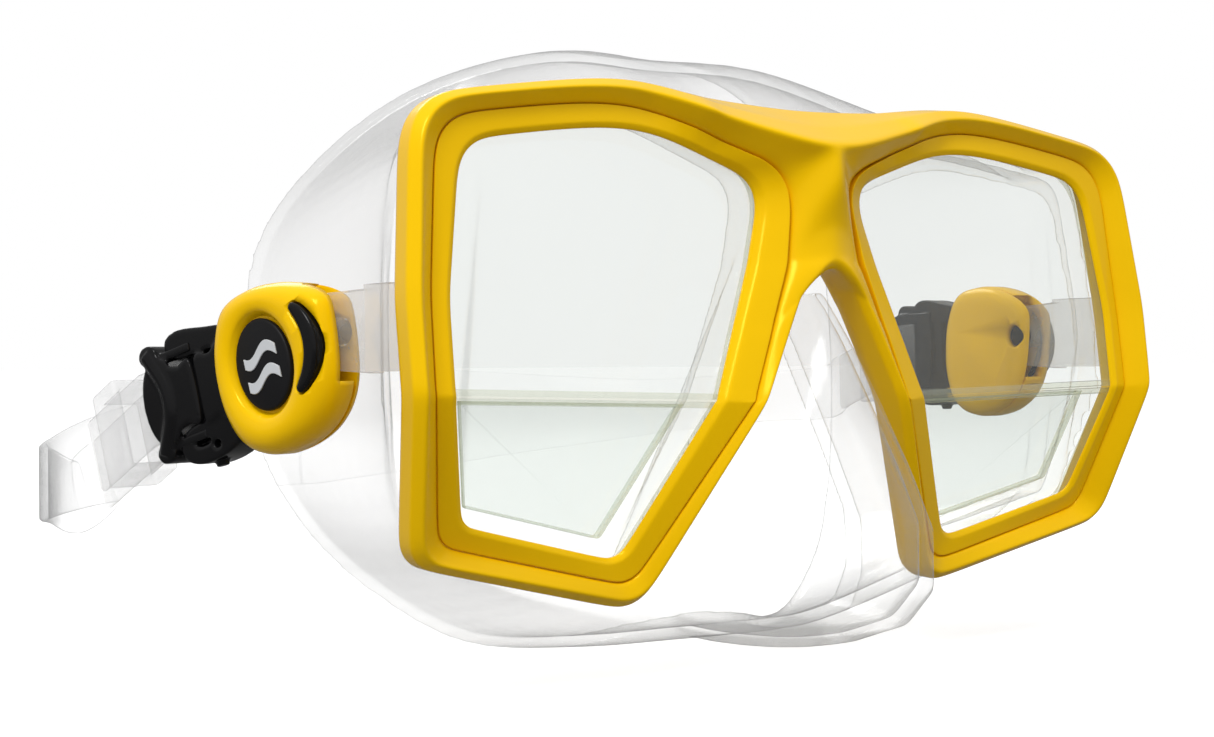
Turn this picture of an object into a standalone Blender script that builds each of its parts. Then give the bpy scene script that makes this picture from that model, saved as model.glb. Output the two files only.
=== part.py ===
"""Diving mask: a yellow two-window frame with folded prescription windows, a clear silicone skirt
with a nose pocket, and a swivelling ratchet buckle with a rubber strap on each side.

Design frame, in millimetres: x to the wearer's left, y from the windows back to the face, z up.
The fold line of the windows is at y = 0, z = FOLD_Z.  Everything is converted to metres and moved
to the object's own origin, the middle of its footprint, when a mesh is made.
"""
import math

import bmesh
import bpy
from mathutils import Matrix, Vector

MM = 0.001
ORIGIN = Vector((-9.35, 80.65, -45.6))   # design-frame point that becomes the object's origin

# ---- windows: each lens is two flat panes that meet along a fold ----
FOLD_Z = 0.8
FOLD_RISE = 0.027          # the fold line climbs this much per mm towards the temples
FOLD_START_X = 22.0
UPPER_SLOPE = 0.125        # y gained per mm above the fold
LOWER_SLOPE = 0.365        # y gained per mm below the fold
LENS_FRONT = 1.3           # depth of the glass behind the opening plane
LENS_THICK = 3.2
LENS_OVERLAP = 1.9         # glass hidden behind the bezel
PANE_GAP = 0.35
READER_RISE = 1.6          # extra thickness of the magnifying disc on the lower pane
READER_INSET = 3.0

# ---- frame section ----
SEAM_GAP = 0.15            # half of the joint between the bezel and the main frame
BEZEL_BACK = 0.95
FRAME_BACK = 6.4

# Outline corners of one eye, all in the same order: nose top, bridge foot, arch, fold at the nose,
# lower nose, lower temple, fold at the temple, temple, upper temple, apex, brow.  Each is x, z, the
# corner's radius, or SHARP where the outline meets the middle plane, and for the frame's rows the
# height off the folded window surface.
SHARP = -1
OPENING = ((9.9, 37.3, 7), (13.9, 23.7, 12), (18.15, 12.5, 9), (22.4, 1.2, 12), (35.9, -25.4, 4),
           (66.2, -17.9, 4), (70.9, 1.9, 5), (70.9, 17.0, 40), (67.4, 41.2, 8), (35.5, 46.6, 20),
           (22.0, 41.7, 20))
SEAM = ((5.6, 38.8, 8), (8.3, 23.7, 12), (12.4, 12.6, 9), (16.6, 1.2, 12), (33.4, -29.6, 5),
        (69.8, -20.9, 5), (74.3, 2.4, 5), (74.1, 17.0, 40), (71.8, 44.6, 9), (36.4, 50.6, 20),
        (20.5, 44.5, 20))
SEAM_RISE = (-3.6, -3.6, -3.1, -2.6, -1.6, 0.0, 0.0, 0.0, -0.6, -0.3, -1.9)
CREST = ((0.0, 42.4, SHARP, -10.2), (0.0, 26.4, SHARP, -6.8), (7.4, 17.6, 5, -5.0), (15.3, 1.2, 12, -4.2),
         (32.0, -32.7, 6, -3.6), (73.6, -23.0, 6, -3.4), (77.5, 2.4, 8, -3.6), (77.6, 17.0, 40, -3.6),
         (75.0, 46.6, 10, -3.2), (36.4, 53.0, 20, -3.0), (19.5, 47.3, 20, -6.0))
BROW = ((0.0, 46.6, SHARP, -4.7), (0.0, 23.5, SHARP, -5.2), (5.6, 19.4, 5, -3.2), (14.2, 1.2, 13, -2.6),
        (31.5, -34.2, 7, -1.9), (75.1, -23.8, 6.5, -1.6), (79.0, 2.4, 8, -1.6), (79.2, 17.0, 45, -1.6),
        (76.4, 47.6, 11, -1.4), (36.4, 54.3, 20, -1.2), (18.8, 49.8, 20, -2.6))
WALL_BACK = ((0.0, 51.0, SHARP, 1.9), (0.0, 24.4, SHARP, 1.4), (5.9, 19.8, 5, 2.2), (14.4, 1.2, 13, 2.4),
             (31.7, -34.0, 7, 2.4), (75.0, -23.7, 6.5, 2.4), (78.9, 2.4, 8, 2.4), (79.1, 17.0, 45, 2.4),
             (76.3, 47.5, 11, 2.4), (36.4, 54.2, 20, 2.4), (18.4, 51.6, 20, 1.8))
REAR = ((0.0, 49.2, SHARP, 5.0), (0.0, 27.6, SHARP, 4.6), (7.4, 18.6, 4, 5.2), (15.2, 1.2, 13, 5.4),
        (32.3, -32.7, 6, 5.4), (73.6, -22.9, 6, 5.4), (77.6, 2.4, 8, 5.4), (77.7, 17.0, 45, 5.4),
        (75.0, 46.6, 10, 5.4), (36.4, 53.1, 20, 5.4), (19.0, 50.0, 20, 4.9))
SHARP_REACH = 5.0

CORNER_STEPS = 4
EDGE_STEPS = 2
FOLD_CORNERS = (3, 6)               # the outline corners that sit on the fold line

# ---- skirt ----
SKIRT_WALL = 2.0
BODY_FRONT_Y = 18.4
FLANGE_FRONT = 4.8
FLANGE_BACK = 6.7
FLANGE_INSET = 2.6
SKIRT_FIT = 0.85
BODY_FRONT = ((0, 46), (20, 50.5), (38, 51.5), (58, 48.5), (69.8, 41), (73.7, 22), (73.6, 2),
              (69.8, -19), (54, -29), (36, -34.5), (22, -38), (10, -40), (0, -40.5))
FACE_RIM = ((0, 60, 67), (22, 63, 66.5), (44, 71, 58.5), (61, 78, 43.5), (69.5, 83, 28), (71.2, 83, 10),
            (69.5, 81, -8), (63, 75, -23), (53, 67, -35), (39, 59, -44.3), (24, 49, -45.3),
            (11, 41, -42.5), (0, 39, -41.3))
BODY_SECTIONS = 6
CROWN_SWELL = 5.0          # how far the top and bottom bulge between the frame and the face
BELLY_SWELL = 1.5
WAIST = 3.2                # how far the temples draw in beside the buckles
WAIST_Z = 10.0
WAIST_REACH = 22.0
MOUTH_CENTRE = (0.0, 40.0, 12.0)
NOSE_LEVELS = ((19.0, 2.4, 1.0), (11.0, 6.6, -4.0), (1.0, 11.6, -8.2), (-11.0, 17.6, -11.6),
               (-22.0, 22.6, -13.6), (-32.0, 22.8, -13.4), (-38.0, 20.0, -9.0), (-41.0, 14.0, -1.0))
NOSE_BACK_Y = 22.0

# ---- side arm and buckle; local axes: x outwards, y back along the strap, z up, 0 on the pivot ----
PIVOT = {"left": (80.0, 24.6, 12.3), "right": (76.4, 27.1, 12.3)}
SPLAY = {"left": 23.0, "right": 4.5}
DROOP = {"left": 16.0, "right": 2.0}
ARM_HALF_THICK = 1.5
ARM_HALF_HEIGHT = 6.6
ARM_SLOT = 8.4                     # half height of the buckle's slot for the arm
ARM_EYE = 6.0
ARM_ROOT = (76.3, 8.6)
PIN_RADIUS = 2.0
PIN_RECESS, PIN_END = 1.0, 1.8      # the pin stops short of the cover's face
RUNNING_GAP = 0.35
EGG_CENTRE = (10.7, -2.6)
EGG = ((-13.9, 5.0), (-12.4, 9.0), (-6.0, 12.3), (1.5, 13.6), (8.0, 12.2), (11.2, 7.0),
       (12.3, 1.0), (11.8, -5.6), (8.9, -11.2), (2.4, -13.6), (-6.4, -11.7), (-11.9, -5.8))
SHELL_TOP = 5.2
SHELL_BOTTOM = -1.9
CAVITY_TOP = 2.3
CAVITY_INSET = 1.9
COVER_TOP = -2.2
COVER_BOTTOM = -4.3
BADGE_CENTRE = (11.5, -2.0)
BADGE_RADII = (5.9, 7.5)
DISH_FLOOR = 3.5
DISH_RADII = (7.3, 9.0)
BADGE_TOP = 4.5
BUTTON_ARC = (8.2, -1.0, 8.3)        # centre y, z and radius of the crescent's middle line
BUTTON_TURNS = (138.0, 238.0)        # degrees round that arc from end to end
BUTTON_HALF = (1.45, 0.82)           # half width in the middle and at the ends
BUTTON_BOTTOM = 3.75
BUTTON_TOP = 6.0
PAWL_PIVOT_Y = 12.5
CLIP_Z = -1.5
ARM_GAP_HALF = 7.9                 # half of the space between the bracket's two arms
TONGUE_START, TONGUE_HALF, TONGUE_SLOT = 18.9, 7.8, 8.3
TONGUE_HALF_THICK = 1.5
BAR_START, BAR_END = 24.6, 27.0
BRACKET_ARM = 3.6
AXLE_RADIUS = 1.0
LOOP_PIVOT_Y = 31.0
LOOP_FRONT_Y, LOOP_BACK_Y = 27.8, 40.0
LOOP_RAIL = 7.5
LOOP_WINDOW = 6.7
LOOP_EARS = 9.6
ROLLER_Y = 33.6
ROLLER_RADIUS = 1.6
STRAP_THICK = 1.7
STRAP_HALF_WIDTH = 6.2
TAIL_END_Y = 55.0
STRAP_END_Y = 60.0
KEEPER_Y = (45.0, 51.0)
KEEPER_WALL = 1.5
BAND_GAP = 2.2
STRAP_SAG = 0.30                   # the strap drops this much per mm beyond the loop
SAG_START_Y = 41.0
BAND_WIDTHS = (12.4, 14.0, 16.0, 20.0, 25.0, 28.0, 25.0, 19.0, 13.5, 12.0, 12.4)
BAND_ROUTE = ((-102.5, 98.0, -15.0), (-94.0, 130.0, -15.5), (-72.0, 156.0, -12.5), (-38.0, 170.0, -9.0),
              (-4.0, 174.0, -7.0), (30.0, 168.0, -5.5), (60.0, 148.0, -4.0), (77.0, 122.0, -1.5))

YELLOW = (0.93, 0.50, 0.005)
CLEAR = (0.88, 0.90, 0.90)
GLASS = (0.80, 0.88, 0.85)
BLACK = (0.012, 0.012, 0.013)
STEEL = (0.60, 0.60, 0.62)
FINISHES = {
    "gloss yellow": (YELLOW, 0.18, 0.0),
    "clear silicone": (CLEAR, 0.22, 0.0),
    "glass": (GLASS, 0.03, 0.0),
    "gloss black": (BLACK, 0.22, 0.0),
    "satin black": (BLACK, 0.50, 0.0),
    "steel": (STEEL, 0.30, 1.0),
}


def clear_scene():
    for item in list(bpy.data.objects):
        bpy.data.objects.remove(item, do_unlink=True)


def collection(name):
    group = bpy.data.collections.new(name)
    bpy.context.scene.collection.children.link(group)
    return group


def material(name, finish):
    colour, roughness, metallic = FINISHES[finish]
    made = bpy.data.materials.new(name)
    made.use_nodes = True
    shader = made.node_tree.nodes["Principled BSDF"]
    shader.inputs["Base Color"].default_value = (*colour, 1.0)
    shader.inputs["Roughness"].default_value = roughness
    shader.inputs["Metallic"].default_value = metallic
    return made


# ---- outlines ----

def rounded_loop(corners, steps=CORNER_STEPS, between=EDGE_STEPS):
    """A closed outline: an arc at each corner, or the point itself at a sharp one, and evenly
    spaced points along each edge."""
    arcs = []
    count = len(corners)
    for i, corner in enumerate(corners):
        here = Vector(corner[:2])
        before = Vector(corners[i - 1][:2]) - here
        after = Vector(corners[(i + 1) % count][:2]) - here
        limit = 0.45 * min(before.length, after.length)
        before.normalize()
        after.normalize()
        sharp = corner[2] == SHARP
        if sharp:
            reach = min(SHARP_REACH, limit)
        else:
            half = min(before.angle(after) / 2, 1.5)
            reach = max(min(corner[2] / math.tan(half), limit), 0.25 * limit)
        start = here + before * reach
        end = here + after * reach
        arc = []
        for k in range(steps + 1):
            t = k / steps
            if sharp:
                arc.append(start.lerp(here, 2 * t) if t < 0.5 else here.lerp(end, 2 * t - 1))
            else:
                arc.append(start * (1 - t) ** 2 + here * 2 * t * (1 - t) + end * t * t)
        arcs.append(arc)
    loop = []
    for i, arc in enumerate(arcs):
        loop += arc
        following = arcs[(i + 1) % count][0]
        for k in range(1, between + 1):
            loop.append(arc[-1].lerp(following, k / (between + 1)))
    return loop


def corner_values(values, steps=CORNER_STEPS, between=EDGE_STEPS):
    """One value for each point of rounded_loop, held round a corner and blended along an edge."""
    out = []
    for i, value in enumerate(values):
        following = values[(i + 1) % len(values)]
        out += [value] * (steps + 1)
        for k in range(1, between + 1):
            out.append(value + (following - value) * k / (between + 1))
    return out


def smooth_loop(points, per_span=3):
    """A closed Catmull-Rom curve through the points."""
    points = [Vector(p) for p in points]
    count = len(points)
    loop = []
    for i in range(count):
        a, b, c, d = (points[(i + k - 1) % count] for k in range(4))
        for k in range(per_span):
            loop.append(catmull(a, b, c, d, k / per_span))
    return loop


def smooth_path(points, per_span):
    """An open Catmull-Rom curve through the points."""
    points = [Vector(p) for p in points]
    padded = [2 * points[0] - points[1]] + points + [2 * points[-1] - points[-2]]
    path = []
    for i in range(len(points) - 1):
        for k in range(per_span):
            path.append(catmull(*padded[i:i + 4], k / per_span))
    path.append(points[-1])
    return path


def catmull(a, b, c, d, t):
    return 0.5 * (2 * b + (c - a) * t + (2 * a - 5 * b + 4 * c - d) * t * t
                  + (3 * b - a - 3 * c + d) * t ** 3)


def eye_outline(corners, grow=0.0):
    """An outline of one eye, moved outwards, with two of its points exactly on the fold line."""
    loop = rounded_loop(corners)
    if grow:
        loop = offset_loop(loop, grow)
    for corner in FOLD_CORNERS:
        point = loop[corner * (CORNER_STEPS + 1 + EDGE_STEPS) + CORNER_STEPS // 2]
        point.y = fold_height(point.x)
    return loop


def offset_loop(loop, distance):
    """Move each point of a closed 2D outline outwards by the distance (inwards if negative)."""
    area = sum(p.x * q.y - q.x * p.y for p, q in zip(loop, loop[1:] + loop[:1]))
    sign = 1 if area > 0 else -1
    out = []
    for i, here in enumerate(loop):
        before = (here - loop[i - 1]).normalized()
        after = (loop[(i + 1) % len(loop)] - here).normalized()
        normal = Vector((before.y + after.y, -before.x - after.x)).normalized() * sign
        spread = max(0.5, normal.dot(Vector((after.y, -after.x)) * sign))
        out.append(here + normal * distance / spread)
    return out


def oval(centre, radii, count=28):
    turns = [2 * math.pi * k / count for k in range(count)]
    return [Vector((centre[0] + radii[0] * math.cos(t), centre[1] + radii[1] * math.sin(t)))
            for t in turns]


def box_loop(low, high):
    return [Vector((low[0], low[1])), Vector((high[0], low[1])), Vector(high), Vector((low[0], high[1]))]


def fold_height(x):
    return FOLD_Z + FOLD_RISE * (abs(x) - FOLD_START_X)


def window_depth(x, z):
    """y of the opening plane: the front of the windows folds back above and below the fold."""
    above = z - fold_height(x)
    return UPPER_SLOPE * above if above > 0 else -LOWER_SLOPE * above


# ---- meshes ----

def skin(loops, wrap=False, fan=None):
    """Join a row of equal loops with quads; cap both ends, or wrap the last loop to the first.

    With a fan point the last loop is closed by triangles to that point instead of one flat face."""
    work = bmesh.new()
    rows = [[work.verts.new(p) for p in loop] for loop in loops]
    pairs = list(zip(rows, rows[1:]))
    if wrap:
        pairs.append((rows[-1], rows[0]))
    for first, second in pairs:
        for k in range(len(first)):
            n = (k + 1) % len(first)
            work.faces.new((first[k], first[n], second[n], second[k]))
    if wrap:
        return work
    work.faces.new(rows[0])
    if fan is None:
        work.faces.new(list(reversed(rows[-1])))
        return work
    hub = work.verts.new(fan)
    last = rows[-1]
    for k in range(len(last)):
        work.faces.new((last[k], last[(k + 1) % len(last)], hub))
    return work


def finish_mesh(name, work, mirror=False, local=False):
    """Turn a bmesh in millimetres into a mesh in metres, its faces pointing out."""
    shift = Vector((0, 0, 0)) if local else ORIGIN
    for vert in work.verts:
        place = vert.co.copy()
        if mirror:
            place.x = -place.x
        vert.co = (place - shift) * MM
    bmesh.ops.recalc_face_normals(work, faces=work.faces)
    if work.calc_volume(signed=True) < 0:
        bmesh.ops.reverse_faces(work, faces=work.faces)
    mesh = bpy.data.meshes.new(name)
    work.to_mesh(mesh)
    work.free()
    mesh.set_sharp_from_angle(angle=math.radians(32))
    return mesh


def add_part(name, work, finish, mirror=False, parent=None):
    mesh = finish_mesh(name, work, mirror, parent is not None)
    made = bpy.data.objects.new(name, mesh)
    made.data.materials.append(material(name, finish))
    PARTS.objects.link(made)
    made.parent = parent
    return made


def add_cutter(name, work, mirror=False, parent=None):
    made = bpy.data.objects.new(name, finish_mesh(name, work, mirror, parent is not None))
    made.hide_render = True
    made.display_type = "WIRE"
    CUTTERS.objects.link(made)
    made.parent = parent
    return made


def combine(target, tool, operation):
    step = target.modifiers.new(tool.name, "BOOLEAN")
    step.operation = operation
    step.solver = "EXACT"
    step.object = tool


def slab(outline, low, high, across="x"):
    """Extrude a 2D outline of (y, z) points along x, or of (x, z) along y, or of (x, y) along z."""
    def place(p, level):
        if across == "x":
            return Vector((level, p[0], p[1]))
        if across == "y":
            return Vector((p[0], level, p[1]))
        return Vector((p[0], p[1], level))
    return skin([[place(p, low) for p in outline], [place(p, high) for p in outline]])


def stack(levels):
    """A solid from (x, outline of (y, z)) levels."""
    return skin([[Vector((x, p[0], p[1])) for p in outline] for x, outline in levels])


# ---- frame, bezels and windows ----

def folded_slab(outline, front, back, fold_back=True):
    """A slab through one window, its faces bent along the fold: the back may be left flat."""
    work = slab(outline, front, back, "y")
    everything = work.verts[:] + work.edges[:] + work.faces[:]
    bmesh.ops.bisect_plane(work, geom=everything, dist=1e-6, plane_no=(-FOLD_RISE, 0, 1),
                           plane_co=(FOLD_START_X, 0, FOLD_Z))
    for vert in work.verts:
        if fold_back or vert.co.y < (front + back) / 2:
            vert.co.y += window_depth(vert.co.x, vert.co.z)
    return work


def eye_row(outline, rises):
    """Points of an outline on the folded window surface, raised or sunk by the given depths."""
    return [Vector((p.x, window_depth(p.x, p.y) + rise, p.y)) for p, rise in zip(outline, rises)]


def make_frame():
    """Both rims and the bridge: one half as rows round the eye, copied across the middle plane."""
    seam = eye_outline(SEAM, SEAM_GAP)
    rows = [eye_row(seam, corner_values(SEAM_RISE))]
    for table in (CREST, BROW, WALL_BACK, REAR):
        rows.append(eye_row(eye_outline(table), corner_values([corner[3] for corner in table])))
    rows.append(eye_row(seam, [FRAME_BACK] * len(seam)))
    work = skin(rows, wrap=True)
    middle = [f for f in work.faces if all(abs(v.co.x) < 1e-4 for v in f.verts)]
    bmesh.ops.delete(work, geom=middle, context="FACES")
    copied = bmesh.ops.duplicate(work, geom=work.verts[:] + work.edges[:] + work.faces[:])
    for item in copied["geom"]:
        if isinstance(item, bmesh.types.BMVert):
            item.co.x = -item.co.x
    bmesh.ops.remove_doubles(work, verts=work.verts[:], dist=1e-3)
    add_part("main_frame", work, "gloss yellow")


def make_bezel(side):
    opening = eye_outline(OPENING)
    seam = eye_outline(SEAM, -SEAM_GAP)
    middle = [o.lerp(s, 0.5) for o, s in zip(opening, seam)]
    seam_rise = corner_values(SEAM_RISE)
    flat = [1.0] * len(seam)
    rows = [
        eye_row(opening, [0.25 * f for f in flat]),
        eye_row(middle, [0.45 * rise - 0.35 for rise in seam_rise]),
        eye_row(seam, [rise for rise in seam_rise]),
        eye_row(seam, [BEZEL_BACK * f for f in flat]),
        eye_row(opening, [BEZEL_BACK * f for f in flat]),
    ]
    add_part("bezel_" + side, skin(rows, wrap=True), "gloss yellow", mirror=side == "left")


def pane_outline(inset, above, margin):
    """The part of the window outline above or below the fold, cut straight across."""
    loop = offset_loop(rounded_loop(OPENING, 5, 2), -inset)
    sign = 1 if above else -1
    heights = [(p.y - fold_height(p.x)) * sign - margin for p in loop]
    kept = []
    for i, here in enumerate(loop):
        n = (i + 1) % len(loop)
        if heights[i] > 0:
            kept.append(here)
        if heights[i] * heights[n] < 0:
            t = heights[i] / (heights[i] - heights[n])
            kept.append(here.lerp(loop[n], t))
    return kept


def pane_row(outline, depth, above):
    """Outline points on one pane's own flat plane, sunk along y."""
    slope = UPPER_SLOPE if above else -LOWER_SLOPE
    return [Vector((p.x, slope * (p.y - fold_height(p.x)) + depth, p.y)) for p in outline]


def make_panes(side):
    mirror = side == "left"
    back = LENS_FRONT + LENS_THICK
    upper = pane_outline(-LENS_OVERLAP, True, PANE_GAP / 2)
    rows = [pane_row(upper, LENS_FRONT, True), pane_row(upper, back, True)]
    add_part("lens_" + side, skin(rows), "glass", mirror)
    lower = pane_outline(-LENS_OVERLAP, False, PANE_GAP / 2)
    disc = pane_outline(READER_INSET, False, PANE_GAP / 2)
    rows = [pane_row(lower, LENS_FRONT, False), pane_row(lower, back, False)]
    reader = add_part("reader_lens_" + side, skin(rows), "glass", mirror)
    rows = [pane_row(disc, back - 1.0, False), pane_row(disc, back + READER_RISE, False)]
    combine(reader, add_cutter("reader_disc_" + side, skin(rows), mirror), "UNION")


# ---- skirt ----

def mirrored_loop(half):
    """A closed, symmetric loop from points that run from the top centre to the bottom centre."""
    half = [Vector(p) for p in half]
    left = [Vector((-p.x, *p[1:])) for p in reversed(half[1:-1])]
    return half + left


def body_loops(shrink, front_y, overrun=0.0):
    """Sections of the skirt from behind the frame to the face, drawn in by the wall thickness."""
    front = smooth_loop(mirrored_loop(BODY_FRONT), 2)
    rim = smooth_loop(mirrored_loop(FACE_RIM), 2)
    loops = []
    for k in range(BODY_SECTIONS + 1):
        t = k / BODY_SECTIONS
        swell = math.sin(math.pi * t)
        pinch = WAIST * math.sin(math.pi * math.sqrt(t))
        flat = []
        for a, b in zip(front, rim):
            x = a.x + (b.x - a.x) * t
            z = a.y + (b.z - a.y) * t
            centre = max(0.0, 1 - (x / 75.0) ** 2)
            rise = (CROWN_SWELL if z > 20 else -BELLY_SWELL if z < -20 else 0.0) * swell * centre
            squeeze = pinch * math.exp(-((z - WAIST_Z) / WAIST_REACH) ** 2)
            flat.append(Vector((x - math.copysign(squeeze, x) * min(1.0, abs(x) / 60), z + rise)))
        inner = offset_loop(flat, -shrink) if shrink else flat
        loops.append([Vector((p.x, front_y + (b.y - front_y) * t, p.y)) for p, b in zip(inner, rim)])
    if overrun:
        loops.append([p + Vector((0, overrun, 0)) for p in loops[-1]])
    return loops


def nose_loops(shrink, lift, back_y):
    """Level sections of the nose pocket, from the bridge down to its underside."""
    loops = []
    for z, half_width, front_y in NOSE_LEVELS:
        w = half_width - shrink
        f = front_y + shrink
        half = [(0, f), (0.36 * w, f + 0.5), (0.66 * w, f + 3.2), (0.88 * w, f + 8.5), (w, f + 15),
                (w, back_y)]
        right = [Vector((x, y, z + lift)) for x, y in half]
        left = [Vector((-x, y, z + lift)) for x, y in reversed(half[1:])]
        loops.append(right + left)
    return loops


def eye_tunnel(shrink, front, back_y):
    return folded_slab(eye_outline(SEAM, -SKIRT_FIT - shrink), front, back_y, fold_back=False)


def make_skirt():
    mouth = Vector(MOUTH_CENTRE)
    skirt = add_part("skirt", skin(body_loops(0, BODY_FRONT_Y), fan=mouth), "clear silicone")
    tools = [("nose_outside", skin(nose_loops(0, 0, NOSE_BACK_Y)), "UNION")]
    tools += [("tunnel_outside", eye_tunnel(0, FLANGE_FRONT, BODY_FRONT_Y + 3), "UNION")]
    overrun = 6.0
    inside = skin(body_loops(SKIRT_WALL, BODY_FRONT_Y + SKIRT_WALL, overrun),
                  fan=mouth + Vector((0, overrun + 3, 0)))
    tools += [("skirt_inside", inside, "DIFFERENCE")]
    tools += [("nose_inside", skin(nose_loops(SKIRT_WALL, 1.4, NOSE_BACK_Y + 9)), "DIFFERENCE")]
    tunnel = eye_tunnel(SKIRT_WALL, FLANGE_BACK, BODY_FRONT_Y + SKIRT_WALL + 2.7)
    tools += [("tunnel_inside", tunnel, "DIFFERENCE")]
    hole = folded_slab(eye_outline(OPENING, -FLANGE_INSET), FLANGE_FRONT - 3, FLANGE_BACK + 3)
    tools += [("flange_hole", hole, "DIFFERENCE")]
    for name, work, operation in tools:
        paired = name.startswith("tunnel") or name.startswith("flange")
        if paired:
            twin = work.copy()
            combine(skirt, add_cutter(name + "_left", twin, mirror=True), operation)
            name += "_right"
        combine(skirt, add_cutter(name, work), operation)


# ---- side arm and buckle ----

def pivot_frame(side):
    """The empty on a buckle's pivot pin, turned to the way that side's strap leads off."""
    sign = -1 if side == "left" else 1
    place = Vector((sign * PIVOT[side][0], PIVOT[side][1], PIVOT[side][2])) - ORIGIN
    empty = bpy.data.objects.new("pivot_" + side, None)
    empty.location = place * MM
    empty.rotation_euler = (math.radians(-DROOP[side]), 0, math.radians(-sign * SPLAY[side]))
    PARTS.objects.link(empty)
    return empty


def child_frame(name, parent, place):
    empty = bpy.data.objects.new(name, None)
    empty.location = Vector(place) * MM
    empty.parent = parent
    PARTS.objects.link(empty)
    return empty


def round_bar(radius, low, high, centre, axis, sides=20):
    outline = oval(centre, (radius, radius), sides)
    return slab(outline, low, high, axis)


def make_side_arm(side):
    """The clear link that runs back from the skirt and ends in an eye round the pivot pin."""
    mirror = side == "left"
    splay = math.radians(SPLAY[side])
    eye = []
    for k in range(-6, 7):
        turn = math.radians(15 * k)
        eye.append((ARM_EYE * math.cos(turn), ARM_EYE * math.sin(turn)))
    outline = [(-9.5, -ARM_HALF_HEIGHT)] + eye + [(-9.5, ARM_HALF_HEIGHT)]
    paddle = skin([[Vector((x, y, z)) for y, z in outline] for x in (-ARM_HALF_THICK, ARM_HALF_THICK)])
    turn = Matrix.Translation(PIVOT[side]) @ Matrix.Rotation(-splay, 4, "Z")
    bmesh.ops.transform(paddle, matrix=turn, verts=paddle.verts)
    arm = add_part("side_arm_" + side, paddle, "clear silicone", mirror)
    front = turn @ Vector((0, -8.5, 0))
    rows = []
    route = smooth_path([(ARM_ROOT[0], ARM_ROOT[1], 0), (front.x * 0.5 + ARM_ROOT[0] * 0.5,
                        (front.y + ARM_ROOT[1]) / 2 + 0.5, 0), (front.x, front.y, 0)], 3)
    for i, p in enumerate(route):
        before = route[max(0, i - 1)]
        after = route[min(len(route) - 1, i + 1)]
        along = (after - before).normalized()
        out = Vector((along.y, -along.x, 0)) * ARM_HALF_THICK
        top = Vector((0, 0, PIVOT[side][2] + ARM_HALF_HEIGHT + 0.6))
        bottom = Vector((0, 0, PIVOT[side][2] - ARM_HALF_HEIGHT + 0.3))
        rows.append([p + out + top, p - out + top, p - out + bottom, p + out + bottom])
    combine(arm, add_cutter("arm_root_" + side, skin(rows), mirror), "UNION")
    hole = round_bar(PIN_RADIUS + RUNNING_GAP, -4, 4, (0, 0), "x")
    bmesh.ops.transform(hole, matrix=turn, verts=hole.verts)
    combine(arm, add_cutter("arm_eye_" + side, hole, mirror), "DIFFERENCE")


def crescent(grow):
    """The release button's outline: a stroke along an arc, widest in its middle, with round ends."""
    y, z, radius = BUTTON_ARC
    first, last = (math.radians(turn) for turn in BUTTON_TURNS)
    middle_half, end_half = BUTTON_HALF
    outer, inner = [], []
    for k in range(13):
        turn = first + (last - first) * k / 12
        half = end_half + (middle_half - end_half) * math.sin(math.pi * k / 12) + grow
        outer.append(Vector((y + (radius + half) * math.cos(turn), z + (radius + half) * math.sin(turn))))
        inner.append(Vector((y + (radius - half) * math.cos(turn), z + (radius - half) * math.sin(turn))))
    ends = []
    for at, start in ((last, last), (first, first + math.pi)):
        centre = Vector((y + radius * math.cos(at), z + radius * math.sin(at)))
        turns = [start + math.pi * k / 4 for k in range(1, 4)]
        ends.append([centre + (end_half + grow) * Vector((math.cos(t), math.sin(t))) for t in turns])
    return outer + ends[0] + inner[::-1] + ends[1]


def egg_outline():
    points = [(y + EGG_CENTRE[0], z + EGG_CENTRE[1]) for y, z in EGG]
    return smooth_loop(points, 3)


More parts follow.
